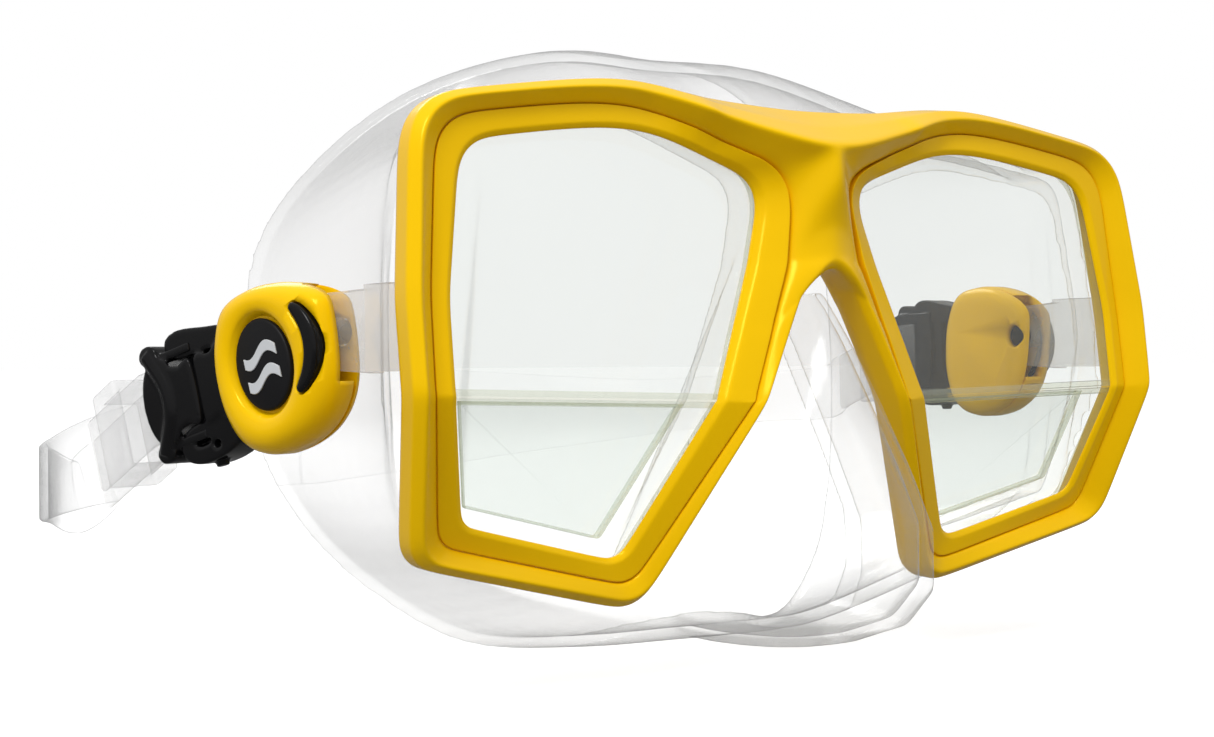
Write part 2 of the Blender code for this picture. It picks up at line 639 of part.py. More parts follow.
def make_buckle(side, empty):
    mirror = side == "left"
    egg = egg_outline()
    shell = add_part("buckle_shell_" + side, stack((
        (SHELL_BOTTOM, offset_loop(egg, -0.3)),
        (SHELL_BOTTOM + 0.8, egg),
        (SHELL_TOP - 2.0, egg),
        (SHELL_TOP - 0.7, offset_loop(egg, -0.7)),
        (SHELL_TOP, offset_loop(egg, -2.0)))), "gloss yellow", mirror, empty)
    cuts = {
        "cavity": slab(offset_loop(egg, -CAVITY_INSET), SHELL_BOTTOM - 1, CAVITY_TOP),
        "dish": stack(((DISH_FLOOR, oval(BADGE_CENTRE, (BADGE_RADII[0] + 0.35, BADGE_RADII[1] + 0.35))),
                       (SHELL_TOP + 0.5, oval(BADGE_CENTRE, DISH_RADII)))),
        "button_slot": slab(crescent(0.35), CAVITY_TOP - 0.5, SHELL_TOP + 1),
        "arm_slot": slab(box_loop((-6, -ARM_SLOT), (3, ARM_SLOT)), SHELL_BOTTOM - 1, ARM_HALF_THICK + 0.4),
        "bracket_slot": slab(box_loop((TONGUE_START - 0.9, CLIP_Z - TONGUE_SLOT), (26, CLIP_Z + TONGUE_SLOT)),
                             SHELL_BOTTOM - 1, 1.9),
    }
    for name, work in cuts.items():
        combine(shell, add_cutter(name + "_" + side, work, mirror, empty), "DIFFERENCE")
    cover = add_part("buckle_back_" + side, stack((
        (COVER_BOTTOM, offset_loop(egg, -2.2)),
        (COVER_BOTTOM + 0.9, offset_loop(egg, -0.5)),
        (COVER_TOP, offset_loop(egg, -0.1)))), "gloss yellow", mirror, empty)
    combine(cover, add_cutter("pin_bore_" + side, round_bar(
        PIN_RADIUS + RUNNING_GAP, COVER_BOTTOM - 1, COVER_TOP + 1, (0, 0), "x"), mirror, empty), "DIFFERENCE")
    add_part("pivot_pin_" + side, round_bar(PIN_RADIUS, COVER_BOTTOM + PIN_RECESS, PIN_END, (0, 0), "x"),
             "satin black", mirror, empty)
    add_part("badge_" + side, stack((
        (DISH_FLOOR + 0.3, oval(BADGE_CENTRE, BADGE_RADII)),
        (BADGE_TOP - 0.2, oval(BADGE_CENTRE, BADGE_RADII)),
        (BADGE_TOP, oval(BADGE_CENTRE, (BADGE_RADII[0] - 0.3, BADGE_RADII[1] - 0.3))))),
        "satin black", mirror, empty)
    add_part("release_button_" + side, stack((
        (BUTTON_BOTTOM, crescent(0)),
        (BUTTON_TOP - 0.4, crescent(0)),
        (BUTTON_TOP, crescent(-0.4)))), "gloss black", mirror, empty)
    pawl_frame = child_frame("pawl_pivot_" + side, empty, (0, PAWL_PIVOT_Y, 0))
    blade = [(-4.0, -0.7), (4.2, -0.7), (4.9, 0.2), (4.2, 0.7), (-4.0, 0.7)]
    add_part("ratchet_pawl_" + side, slab([(x, y) for y, x in blade], -3.6, 3.6, "z"), "steel",
             mirror, pawl_frame)


def make_clip(side, empty):
    """The black bracket on the buckle and the strap loop that rocks between its two arms."""
    mirror = side == "left"
    tongue = slab(box_loop((TONGUE_START, CLIP_Z - TONGUE_HALF), (BAR_START + 1.4, CLIP_Z + TONGUE_HALF)),
                  -TONGUE_HALF_THICK, TONGUE_HALF_THICK)
    bracket = add_part("strap_bracket_" + side, tongue, "gloss black", mirror, empty)
    outer = ARM_GAP_HALF + BRACKET_ARM
    bar = slab(box_loop((BAR_START, CLIP_Z - outer), (BAR_END, CLIP_Z + outer)), -3.0, 3.0)
    combine(bracket, add_cutter("bracket_bar_" + side, bar, mirror, empty), "UNION")
    for label, sign in (("upper", 1), ("lower", -1)):
        tip = [(BAR_START + 0.4, 0.0), (LOOP_PIVOT_Y + 1.6, 0.0), (LOOP_PIVOT_Y + 2.8, 1.2),
               (LOOP_PIVOT_Y + 2.8, 2.6), (LOOP_PIVOT_Y + 1.2, BRACKET_ARM), (BAR_START + 0.4, BRACKET_ARM)]
        arm = slab([(y, CLIP_Z + sign * (ARM_GAP_HALF + z)) for y, z in tip], -2.7, 2.7)
        combine(bracket, add_cutter("bracket_arm_" + label + "_" + side, arm, mirror, empty), "UNION")
    bore = round_bar(AXLE_RADIUS + RUNNING_GAP, CLIP_Z - 14, CLIP_Z + 14, (0, LOOP_PIVOT_Y), "z", 14)
    combine(bracket, add_cutter("bracket_bore_" + side, bore, mirror, empty), "DIFFERENCE")
    loop_frame = child_frame("loop_pivot_" + side, empty, (0, LOOP_PIVOT_Y, CLIP_Z))
    front = LOOP_FRONT_Y - LOOP_PIVOT_Y
    rear = LOOP_BACK_Y - LOOP_PIVOT_Y
    ears = [(front, -LOOP_RAIL), (3.4, -LOOP_RAIL), (5.0, -LOOP_EARS + 0.6), (rear - 1.4, -LOOP_EARS),
            (rear, -LOOP_EARS + 1.2), (rear - 0.8, 0), (rear, LOOP_EARS - 1.2),
            (rear - 1.4, LOOP_EARS), (5.0, LOOP_EARS - 0.6), (3.4, LOOP_RAIL), (front, LOOP_RAIL)]
    loop = add_part("strap_loop_" + side, slab(ears, -3.2, 3.2), "gloss black", mirror, loop_frame)
    window = slab(box_loop((-1.0, -LOOP_WINDOW), (6.0, LOOP_WINDOW)), -5, 5)
    combine(loop, add_cutter("loop_window_" + side, window, mirror, loop_frame), "DIFFERENCE")
    for label, low, high in (("inner", -5.0, -1.6), ("outer", 1.6, 5.0)):
        step = slab(box_loop((5.0, -LOOP_WINDOW), (rear + 2, LOOP_WINDOW)), low, high)
        cutter = add_cutter("loop_step_" + label + "_" + side, step, mirror, loop_frame)
        combine(loop, cutter, "DIFFERENCE")
    bore = round_bar(AXLE_RADIUS + RUNNING_GAP, -20, 20, (0, 0), "z", 14)
    combine(loop, add_cutter("loop_bore_" + side, bore, mirror, loop_frame), "DIFFERENCE")
    for label, low in (("upper", LOOP_WINDOW + 0.1), ("lower", -ARM_GAP_HALF - 2.6)):
        pin = round_bar(AXLE_RADIUS, low, low + ARM_GAP_HALF + 2.5 - LOOP_WINDOW, (0, 0), "z", 14)
        add_part("loop_pin_" + label + "_" + side, pin, "steel", mirror, loop_frame)
    roller_frame = child_frame("roller_pivot_" + side, loop_frame, (0, ROLLER_Y - LOOP_PIVOT_Y, 0))
    roller = round_bar(ROLLER_RADIUS, -LOOP_WINDOW + 0.3, LOOP_WINDOW - 0.3, (0, 0), "z", 16)
    add_part("strap_roller_" + side, roller, "satin black", mirror, roller_frame)
    make_strap_end(side, loop_frame)


def sag(work):
    """Drop the strap's free length in its own plane, as the moulded curve of the strap does."""
    for vert in work.verts:
        vert.co.z -= STRAP_SAG * max(0.0, vert.co.y - (SAG_START_Y - LOOP_PIVOT_Y))
    return work


def make_strap_end(side, loop_frame):
    """The end of the strap: round the roller and back on itself, with a keeper over both layers."""
    mirror = side == "left"
    inner = ROLLER_RADIUS + 0.4
    outer = inner + STRAP_THICK
    centre = ROLLER_Y - LOOP_PIVOT_Y
    bend = SAG_START_Y - LOOP_PIVOT_Y
    half = STRAP_THICK / 2
    middle = inner + half
    route = [(-middle, STRAP_END_Y - LOOP_PIVOT_Y, -1, 0), (-middle, bend, -1, 0)]
    for k in range(9):
        turn = math.pi * k / 8
        out = (-math.cos(turn), -math.sin(turn))
        route.append((middle * out[0], centre + middle * out[1], *out))
    route += [(middle, bend, 1, 0), (middle, TAIL_END_Y - LOOP_PIVOT_Y, 1, 0)]
    sections = []
    for x, y, out_x, out_y in route:
        sections.append([Vector((x + out_x * side_step, y + out_y * side_step, height))
                         for side_step, height in ((half, STRAP_HALF_WIDTH), (-half, STRAP_HALF_WIDTH),
                                                   (-half, -STRAP_HALF_WIDTH), (half, -STRAP_HALF_WIDTH))])
    strap = skin(sections)
    sag(strap)
    add_part("strap_end_" + side, strap, "clear silicone", mirror, loop_frame)
    hole = (outer + 0.35, STRAP_HALF_WIDTH + 0.35)
    low, high = KEEPER_Y[0] - LOOP_PIVOT_Y, KEEPER_Y[1] - LOOP_PIVOT_Y
    corner = (hole[0] + KEEPER_WALL, hole[1] + KEEPER_WALL)
    block = box_loop((-corner[0], -corner[1]), corner)
    ring = sag(slab(block, low, high, "y"))
    keeper = add_part("strap_keeper_" + side, ring, "clear silicone", mirror, loop_frame)
    opening = sag(slab(box_loop((-hole[0], -hole[1]), hole), low - 1, high + 1, "y"))
    combine(keeper, add_cutter("keeper_hole_" + side, opening, mirror, loop_frame), "DIFFERENCE")


def strap_start(side):
    """Where the back band takes over from a strap end, and the way it leads off."""
    sign = -1 if side == "left" else 1
    turn = Matrix.Rotation(math.radians(-sign * SPLAY[side]), 3, "Z")
    turn = turn @ Matrix.Rotation(math.radians(-DROOP[side]), 3, "X")
    layer = -sign * (ROLLER_RADIUS + 0.4 + STRAP_THICK / 2)
    local = Vector((layer, STRAP_END_Y + BAND_GAP, CLIP_Z - STRAP_SAG * (STRAP_END_Y - SAG_START_Y)))
    start = Vector((sign * PIVOT[side][0], PIVOT[side][1], PIVOT[side][2])) + turn @ local
    return start, turn @ Vector((0, 1, -STRAP_SAG)).normalized()


def make_strap_band():
    """The band round the back of the head, widest in the middle."""
    left, left_way = strap_start("left")
    right, right_way = strap_start("right")
    route = [left, left + left_way * 8] + [Vector(p) for p in BAND_ROUTE]
    route += [right + right_way * 8, right]
    path = smooth_path(route, 3)
    lengths = [0.0]
    for a, b in zip(path, path[1:]):
        lengths.append(lengths[-1] + (b - a).length)
    rows = []
    for i, p in enumerate(path):
        if i == 0:
            along = left_way
        elif i == len(path) - 1:
            along = -right_way
        else:
            along = (path[i + 1] - path[i - 1]).normalized()
        up = (Vector((0, 0, 1)) - along * along.z).normalized()
        across = along.cross(up).normalized()
        share = lengths[i] / lengths[-1] * (len(BAND_WIDTHS) - 1)
        k = min(int(share), len(BAND_WIDTHS) - 2)
        half = (BAND_WIDTHS[k] + (BAND_WIDTHS[k + 1] - BAND_WIDTHS[k]) * (share - k)) / 2
        side_step = across * (STRAP_THICK / 2)
        rows.append([p + side_step + up * half, p - side_step + up * half,
                     p - side_step - up * half, p + side_step - up * half])
    add_part("strap_band", skin(rows), "clear silicone")


clear_scene()
PARTS = collection("diving_mask")
CUTTERS = collection("cutters")
make_frame()
for SIDE in ("left", "right"):
    make_bezel(SIDE)
    make_panes(SIDE)
make_skirt()
for SIDE in ("left", "right"):
    PIVOT_EMPTY = pivot_frame(SIDE)
    make_side_arm(SIDE)
    make_buckle(SIDE, PIVOT_EMPTY)
    make_clip(SIDE, PIVOT_EMPTY)
make_strap_band()
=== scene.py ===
import math

import bmesh
import bpy
import numpy as np
from mathutils import Euler, Matrix, Vector


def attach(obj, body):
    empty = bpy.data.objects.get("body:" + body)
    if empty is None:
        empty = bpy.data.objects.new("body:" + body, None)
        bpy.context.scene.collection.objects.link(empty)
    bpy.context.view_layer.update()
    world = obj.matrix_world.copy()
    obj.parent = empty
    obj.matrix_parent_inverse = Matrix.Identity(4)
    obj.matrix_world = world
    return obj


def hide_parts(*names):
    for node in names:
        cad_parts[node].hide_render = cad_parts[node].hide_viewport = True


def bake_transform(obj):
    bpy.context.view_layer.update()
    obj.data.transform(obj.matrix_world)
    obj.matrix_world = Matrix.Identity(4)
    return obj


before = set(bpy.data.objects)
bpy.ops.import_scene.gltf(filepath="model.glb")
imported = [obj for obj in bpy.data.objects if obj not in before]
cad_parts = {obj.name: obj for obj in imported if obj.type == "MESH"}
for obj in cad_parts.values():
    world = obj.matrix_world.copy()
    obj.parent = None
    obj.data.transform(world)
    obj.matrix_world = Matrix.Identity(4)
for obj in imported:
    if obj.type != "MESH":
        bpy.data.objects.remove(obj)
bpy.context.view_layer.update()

# The visual model of a diving mask.  Lengths are millimetres in the mask's own design frame: x to
# the wearer's left, y from the windows back to the face, z up, the windows' fold line at y = 0.
MM = 0.001
ORIGIN = Vector((-9.35, 80.65, -45.6))

# ---- windows, frame and bezels ----
FOLD_Z, FOLD_RISE, FOLD_START_X = 0.8, 0.027, 22.0
UPPER_SLOPE, LOWER_SLOPE = 0.125, 0.365
ARC_STEPS, EDGE_STEPS = 4, 3
FOLD_CORNERS = (3, 6)
SHARP = -1
SOFT_CORNERS, SOFT_PASSES = (9, 10), 14

# Outline corners (x, z, radius) of one eye, all in the same order: nose top, bridge foot, arch, fold
# at the nose, lower nose, lower temple, fold at the temple, temple, upper temple, apex, brow.
OPENING = ((9.9, 37.3, 7), (13.9, 23.7, 12), (18.15, 12.5, 9), (22.4, 1.2, 12), (35.9, -25.4, 4),
           (66.2, -17.9, 4), (70.9, 1.9, 5), (70.9, 17.0, 40), (67.4, 41.2, 8), (35.5, 46.6, 20),
           (22.0, 41.7, 20))
SEAM = ((5.6, 38.8, 8), (8.3, 23.7, 12), (12.4, 12.6, 9), (16.6, 1.2, 12), (33.4, -29.6, 5),
        (69.8, -20.9, 5), (74.3, 2.4, 5), (74.1, 17.0, 40), (71.8, 44.6, 9), (36.4, 50.6, 20),
        (20.5, 44.5, 20))
SEAM_RISE = (-3.6, -3.6, -3.1, -2.6, -1.6, 0.0, 0.0, 0.0, -0.6, -0.3, -1.9)
# (x, z, radius, height off the folded window surface) for the rows of the frame outside the seam
CREST = ((0.0, 42.4, SHARP, -10.2), (0.0, 26.4, SHARP, -6.8), (7.4, 17.6, 5, -5.0), (15.3, 1.2, 12, -4.2),
         (32.0, -32.7, 6, -3.6), (73.6, -23.0, 6, -3.4), (77.5, 2.4, 8, -3.6), (77.6, 17.0, 40, -3.6),
         (75.0, 46.6, 10, -3.2), (36.4, 53.0, 20, -3.0), (19.5, 47.3, 20, -6.0))
BROW = ((0.0, 46.6, SHARP, -4.7), (0.0, 23.5, SHARP, -5.2), (5.6, 19.4, 5, -3.2), (14.2, 1.2, 13, -2.6),
        (31.5, -34.2, 7, -1.9), (75.1, -23.8, 6.5, -1.6), (79.0, 2.4, 8, -1.6), (79.2, 17.0, 45, -1.6),
        (76.4, 47.6, 11, -1.4), (36.4, 54.3, 20, -1.2), (18.8, 49.8, 20, -2.6))
WALL_BACK = ((0.0, 51.0, SHARP, 1.9), (0.0, 24.4, SHARP, 1.4), (5.9, 19.8, 5, 2.2), (14.4, 1.2, 13, 2.4),
             (31.7, -34.0, 7, 2.4), (75.0, -23.7, 6.5, 2.4), (78.9, 2.4, 8, 2.4), (79.1, 17.0, 45, 2.4),
             (76.3, 47.5, 11, 2.4), (36.4, 54.2, 20, 2.4), (18.4, 51.6, 20, 1.8))
REAR = ((0.0, 49.2, SHARP, 5.0), (0.0, 27.6, SHARP, 4.6), (7.4, 18.6, 4, 5.2), (15.2, 1.2, 13, 5.4),
        (32.3, -32.7, 6, 5.4), (73.6, -22.9, 6, 5.4), (77.6, 2.4, 8, 5.4), (77.7, 17.0, 45, 5.4),
        (75.0, 46.6, 10, 5.4), (36.4, 53.1, 20, 5.4), (19.0, 50.0, 20, 4.9))
SEAM_GAP = 0.07
BRIDGE_REACH, BRIDGE_SMOOTHING = 17.0, 4
BRIDGE_TOP, BRIDGE_FADE = 40.5, 6.0
BRIDGE_POINTS, BRIDGE_PASSES, ARCH_PASSES = 9, 8, 2
FOLD_REACH, FOLD_PASSES = 3, 3
SHELF_DEPTH = 1.1                      # the frame's ledge behind each bezel
FRAME_BACK = 6.4
LENS_FRONT, LENS_THICK, LENS_OVERLAP = 1.3, 3.2, 1.9
READER_RISE, READER_INSET = 1.6, 3.0
JOINT_HALF = 1.2                       # the bonded joint between the two panes

# ---- skirt ----
SKIRT_WALL = 2.0
SKIRT_FIT = 0.85
BODY_FRONT_Y = 18.4
FLANGE_FRONT, FLANGE_BACK, FLANGE_INSET = 4.8, 6.7, 2.6
BODY_FRONT = ((0, 46), (20, 50.5), (38, 51.5), (58, 48.5), (69.8, 41), (73.7, 22), (73.6, 2),
              (69.8, -19), (54, -29), (36, -34.5), (22, -38), (10, -40), (0, -40.5))
FACE_RIM = ((0, 60, 67), (22, 63, 66.5), (44, 71, 58.5), (61, 78, 43.5), (69.5, 83, 28), (71.2, 83, 10),
            (69.5, 81, -8), (63, 75, -23), (53, 67, -35), (39, 59, -44.3), (24, 49, -45.3),
            (11, 41, -42.5), (0, 39, -41.3))
BODY_SECTIONS = 10
CROWN_SWELL, BELLY_SWELL = 5.0, 1.5
WAIST, WAIST_Z, WAIST_REACH = 3.2, 10.0, 22.0
MOUTH_CENTRE = (0.0, 40.0, 12.0)
NOSE_LEVELS = ((19.0, 2.4, 1.0), (11.0, 6.6, -4.0), (1.0, 11.6, -8.2), (-11.0, 17.6, -11.6),
               (-22.0, 22.6, -13.6), (-32.0, 22.8, -13.4), (-38.0, 20.0, -9.0), (-41.0, 14.0, -1.0))
NOSE_BACK_Y = 22.0
SKIRT_VOXEL = 0.75
SKIRT_SMOOTHING = 8

# ---- buckles; local axes: x outwards, y back along the strap, z up, 0 on the pivot ----
PIVOT = {"left": (80.0, 24.6, 12.3), "right": (76.4, 27.1, 12.3)}
SPLAY = {"left": 23.0, "right": 4.5}
DROOP = {"left": 16.0, "right": 2.0}
EGG_CENTRE = (10.7, -2.6)
EGG = ((-13.9, 5.0), (-12.4, 9.0), (-6.0, 12.3), (1.5, 13.6), (8.0, 12.2), (11.2, 7.0),
       (12.3, 1.0), (11.8, -5.6), (8.9, -11.2), (2.4, -13.6), (-6.4, -11.7), (-11.9, -5.8))
BADGE_CENTRE = (11.5, -2.0)
BUTTON_ARC = (8.2, -1.0, 8.3)
BUTTON_TURNS = (138.0, 238.0)
BUTTON_HALF = (1.45, 0.82)
# outlines of the fork's arms (y, height from the clip's centre line)
UPPER_ARM = ((20.0, 6.0), (26.0, 5.9), (31.5, 6.3), (33.9, 8.0), (33.4, 10.2), (30.2, 10.9), (24.6, 9.8),
             (19.0, 8.4))
LOWER_ARM = ((20.5, -5.2), (28.5, -5.1), (32.6, -6.0), (34.6, -8.4), (33.4, -10.9), (29.6, -12.1),
             (24.0, -11.6), (20.0, -9.6))
WAIST_EDGE = ((20.5, 6.0), (24.0, 5.2), (27.7, 5.0), (27.7, -5.0), (24.0, -5.2), (20.5, -6.0))
# half outlines of the collar's two plates, and its raised lip, from the loop's axle (y, z)
MOUTH_EDGE = [(-3.0, -5.0), (0.0, -4.9), (2.6, -5.9), (4.6, -8.4), (6.6, -9.9), (8.3, -8.8), (7.0, -6.2),
              (5.0, -3.4), (4.3, 0.0)]
BACK_EDGE = [(-3.0, -6.8), (3.0, -7.0), (7.0, -8.0), (10.2, -7.2), (11.6, -4.0), (12.0, 0.0)]
LIP_LINE = ((6.6, -8.6), (5.4, -6.2), (3.9, -3.2), (3.3, 0.0), (3.9, 3.2), (5.4, 6.2), (6.6, 8.6))
# the oval plate across the collar's mouth (centre y, z and radii): painted shade for the shadowed opening
MOUTH_SHADE_CENTRE_YZ, MOUTH_SHADE_RADII = (5.0, 0.0), (4.4, 7.6)
LOOP_PIVOT_Y = 31.0
CLIP_Z = -1.5
ROLLER_Y = 33.6
ROLLER_RADIUS = 1.6
STRAP_THICK = 1.7
STRAP_HALF_WIDTH = 6.2
TAIL_END_Y, STRAP_END_Y, BAND_GAP = 55.0, 60.0, 2.2
STRAP_SAG, SAG_START_Y = 0.30, 41.0
BAND_WIDTHS = (12.4, 14.0, 16.0, 20.0, 25.0, 28.0, 25.0, 19.0, 13.5, 12.0, 12.4)
BAND_ROUTE = ((-102.5, 98.0, -15.0), (-94.0, 130.0, -15.5), (-72.0, 156.0, -12.5), (-38.0, 170.0, -9.0),
              (-4.0, 174.0, -7.0), (30.0, 168.0, -5.5), (60.0, 148.0, -4.0), (77.0, 122.0, -1.5))

# ---- camera ----
CAMERA_PLACE = (-201.9, -242.8, 6.6)
CAMERA_TURN = (-33.0, 0.07, -0.34)     # azimuth, elevation and roll in degrees
CAMERA_LENS = 54.71

# ---- studio ----
# dark grey the floor throws back to everything but the camera: painted shade on the mask's undersides
FLOOR_SHADING_BOUNCE = (0.20, 0.20, 0.20)
FLOOR_SHOWN = ((0.71, 0.71, 0.71), (0.73, 0.73, 0.73))
# painted light: emission the camera alone sees, washing out the shadows cast on the floor
FLOOR_PAINTED_GLOW = 0.46
KEY_PLACE, KEY_SIZE, KEY_STRENGTH = (-0.42, -0.36, 0.58), 0.24, 2.3
RIM_PLACE = (0.1, 0.9, 0.9)
LIGHT_SIDE = (-0.45, -0.35, 0.85)
LIGHT_LEVELS = (0.12, 1.3)


# ---------------------------------------------------------------- materials

def new_material(name):
    made = bpy.data.materials.new(name)
    made.use_nodes = True
    tree = made.node_tree
    shader = tree.nodes["Principled BSDF"]
    return made, tree, shader


def add_node(tree, kind, inputs=None, **settings):
    node = tree.nodes.new(kind)
    for key, value in settings.items():
        setattr(node, key, value)
    for key, value in (inputs or {}).items():
        node.inputs[key].default_value = value
    return node


def noise(tree, scale, detail=4.0, roughness=0.5):
    place = add_node(tree, "ShaderNodeTexCoord")
    made = add_node(tree, "ShaderNodeTexNoise", {"Scale": scale, "Detail": detail, "Roughness": roughness})
    tree.links.new(place.outputs["Object"], made.inputs["Vector"])
    return made


def bump(tree, shader, source, strength, distance):
    node = add_node(tree, "ShaderNodeBump", {"Strength": strength, "Distance": distance})
    tree.links.new(source, node.inputs["Height"])
    tree.links.new(node.outputs["Normal"], shader.inputs["Normal"])
    return node


def vary(tree, source, low, high, target):
    limits = {"From Min": 0.3, "From Max": 0.7, "To Min": low, "To Max": high}
    node = add_node(tree, "ShaderNodeMapRange", limits)
    tree.links.new(source, node.inputs["Value"])
    tree.links.new(node.outputs["Result"], target)


def blend_colours(tree, factor, first, second, target):
    node = add_node(tree, "ShaderNodeMix", data_type="RGBA")
    node.inputs["A"].default_value = (*first, 1.0)
    node.inputs["B"].default_value = (*second, 1.0)
    tree.links.new(factor, node.inputs["Factor"])
    tree.links.new(node.outputs["Result"], target)
    return node


def mix_shaders(tree, factor, first, second):
    """The output of a shader mix; the factor is a number or another node's output."""
    node = add_node(tree, "ShaderNodeMixShader")
    if isinstance(factor, float):
        node.inputs["Fac"].default_value = factor
    else:
        tree.links.new(factor, node.inputs["Fac"])
    tree.links.new(first, node.inputs[1])
    tree.links.new(second, node.inputs[2])
    return node.outputs["Shader"]


def power(tree, source, exponent):
    node = add_node(tree, "ShaderNodeMath", {1: exponent}, operation="POWER")
    tree.links.new(source, node.inputs[0])
    return node.outputs["Value"]


def plastic(name, first, second, roughness, grain=0.02, shine=0.5, gloss=(1.0, 1.0, 1.0)):
    """Moulded plastic: slightly mottled colour, fine surface grain and uneven gloss."""
    made, tree, shader = new_material(name)
    mottle = noise(tree, 60.0)
    blend_colours(tree, mottle.outputs["Fac"], first, second, shader.inputs["Base Color"])
    vary(tree, mottle.outputs["Fac"], roughness * 0.85, roughness * 1.15, shader.inputs["Roughness"])
    shader.inputs["Specular Tint"].default_value = (*gloss, 1.0)
    shader.inputs["Specular IOR Level"].default_value = shine
    bump(tree, shader, noise(tree, 1400.0, 2.0).outputs["Fac"], grain, 0.0002)
    return made


def steel(name):
    made, tree, shader = new_material(name)
    wear = noise(tree, 500.0, 6.0)
    blend_colours(tree, wear.outputs["Fac"], (0.50, 0.50, 0.52), (0.72, 0.72, 0.74),
                  shader.inputs["Base Color"])
    shader.inputs["Metallic"].default_value = 1.0
    vary(tree, wear.outputs["Fac"], 0.18, 0.34, shader.inputs["Roughness"])
    return made


def see_through(name, tint, rim, body, shares, roughness, bump_scale, bump_strength, gleam=0.035):
    """Clear silicone or glass: what is behind shows through, more faintly where it is seen edge on."""
    made, tree, shader = new_material(name)
    body_share, edge_share = shares
    clear = add_node(tree, "ShaderNodeBsdfTransparent")
    milky = add_node(tree, "ShaderNodeBsdfTranslucent", {"Color": (*body, 1.0)})
    gloss = add_node(tree, "ShaderNodeBsdfGlossy", {"Color": (1.0, 1.0, 1.0, 1.0), "Roughness": roughness})
    waves = noise(tree, bump_scale, 3.0)
    relief = add_node(tree, "ShaderNodeBump", {"Strength": bump_strength, "Distance": 0.0005})
    tree.links.new(waves.outputs["Fac"], relief.inputs["Height"])
    facing = add_node(tree, "ShaderNodeLayerWeight", {"Blend": 0.35})
    grazing = add_node(tree, "ShaderNodeLayerWeight", {"Blend": 0.5})
    for node in (facing, grazing, gloss):
        tree.links.new(relief.outputs["Normal"], node.inputs["Normal"])
    share = add_node(tree, "ShaderNodeMapRange", {"To Min": body_share, "To Max": edge_share})
    tree.links.new(facing.outputs["Facing"], share.inputs["Value"])
    blend_colours(tree, power(tree, facing.outputs["Facing"], 4.0), tint, rim, clear.inputs["Color"])
    solid = add_node(tree, "ShaderNodeBsdfDiffuse", {"Color": (*body, 1.0)})
    cloudy = mix_shaders(tree, 0.5, solid.outputs["BSDF"], milky.outputs["BSDF"])
    inner = mix_shaders(tree, share.outputs["Result"], clear.outputs["BSDF"], cloudy)
    shine = add_node(tree, "ShaderNodeMapRange", {"To Min": gleam, "To Max": 0.9})
    tree.links.new(power(tree, grazing.outputs["Facing"], 5.0), shine.inputs["Value"])
    outer = mix_shaders(tree, shine.outputs["Result"], inner, gloss.outputs["BSDF"])
    tree.links.new(outer, tree.nodes["Material Output"].inputs["Surface"])
    tree.nodes.remove(shader)
    return made


def make_materials():
    return {
        "yellow": plastic("gloss_yellow", (0.97, 0.585, 0.002), (0.94, 0.555, 0.001), 0.20, 0.01, 0.5,
                          (1.0, 0.75, 0.10)),
        "black": plastic("gloss_black", (0.003, 0.003, 0.0035), (0.005, 0.005, 0.0055), 0.17, 0.02, 0.16),
        "satin": plastic("satin_black", (0.006, 0.006, 0.007), (0.009, 0.009, 0.010), 0.45, 0.08, 0.14),
        "mark": plastic("grey_mark", (0.62, 0.64, 0.66), (0.55, 0.57, 0.59), 0.40),
        "steel": steel("stainless"),
        "silicone": see_through("clear_silicone", (0.998, 0.998, 0.997), (0.90, 0.895, 0.89),
                                (0.99, 0.99, 0.99), (0.01, 0.09), 0.10, 90.0, 0.05, 0.014),
        "strap": see_through("strap_silicone", (0.99, 0.99, 0.99), (0.965, 0.965, 0.965),
                             (0.99, 0.99, 0.99), (0.14, 0.30), 0.22, 250.0, 0.08, 0.014),
        "band": see_through("band_silicone", (0.999, 0.999, 0.999), (0.99, 0.99, 0.99), (0.99, 0.99, 0.99),
                            (0.01, 0.05), 0.25, 250.0, 0.08, 0.004),
        "arm": see_through("arm_silicone", (0.97, 0.965, 0.96), (0.66, 0.64, 0.63), (0.94, 0.92, 0.90),
                           (0.20, 0.45), 0.06, 110.0, 0.6),
        "glass": see_through("window_glass", (0.952, 0.965, 0.955), (0.90, 0.94, 0.91), (0.80, 0.86, 0.84),
                             (0.0, 0.04), 0.01, 20.0, 0.0),
        "glass_edge": see_through("glass_edge", (0.88, 0.92, 0.84), (0.74, 0.80, 0.66), (0.72, 0.76, 0.62),
                                  (0.30, 0.50), 0.05, 300.0, 0.1),
        "joint": see_through("pane_joint", (0.975, 0.98, 0.94), (0.90, 0.92, 0.82), (0.90, 0.91, 0.80),
                             (0.10, 0.25), 0.05, 300.0, 0.1),
    }


# ---------------------------------------------------------------- outlines

def rounded_loop(corners, steps=ARC_STEPS, between=EDGE_STEPS):
    """A closed outline with an arc at each corner; a corner marked SHARP keeps its point."""
    arcs = []
    count = len(corners)
    for i, corner in enumerate(corners):
        here = Vector(corner[:2])
        before = Vector(corners[i - 1][:2]) - here
        after = Vector(corners[(i + 1) % count][:2]) - here
        limit = 0.45 * min(before.length, after.length)
        before.normalize()
        after.normalize()
        sharp = corner[2] == SHARP
        if sharp:
            reach = min(5.0, limit)
        else:
            half = max(before.angle(after) / 2, 0.1)
            reach = max(min(corner[2] / math.tan(min(half, 1.5)), limit), 0.25 * limit)
        start = here + before * reach
        end = here + after * reach
        arc = []
        for k in range(steps + 1):
            t = k / steps
            if sharp:
                arc.append(start.lerp(here, 2 * t) if t < 0.5 else here.lerp(end, 2 * t - 1))
            else:
                arc.append(start * (1 - t) ** 2 + here * 2 * t * (1 - t) + end * t * t)
        arcs.append(arc)
    loop = []
    for i, arc in enumerate(arcs):
        loop += arc
        following = arcs[(i + 1) % count][0]
        loop += [arc[-1].lerp(following, k / (between + 1)) for k in range(1, between + 1)]
    return loop


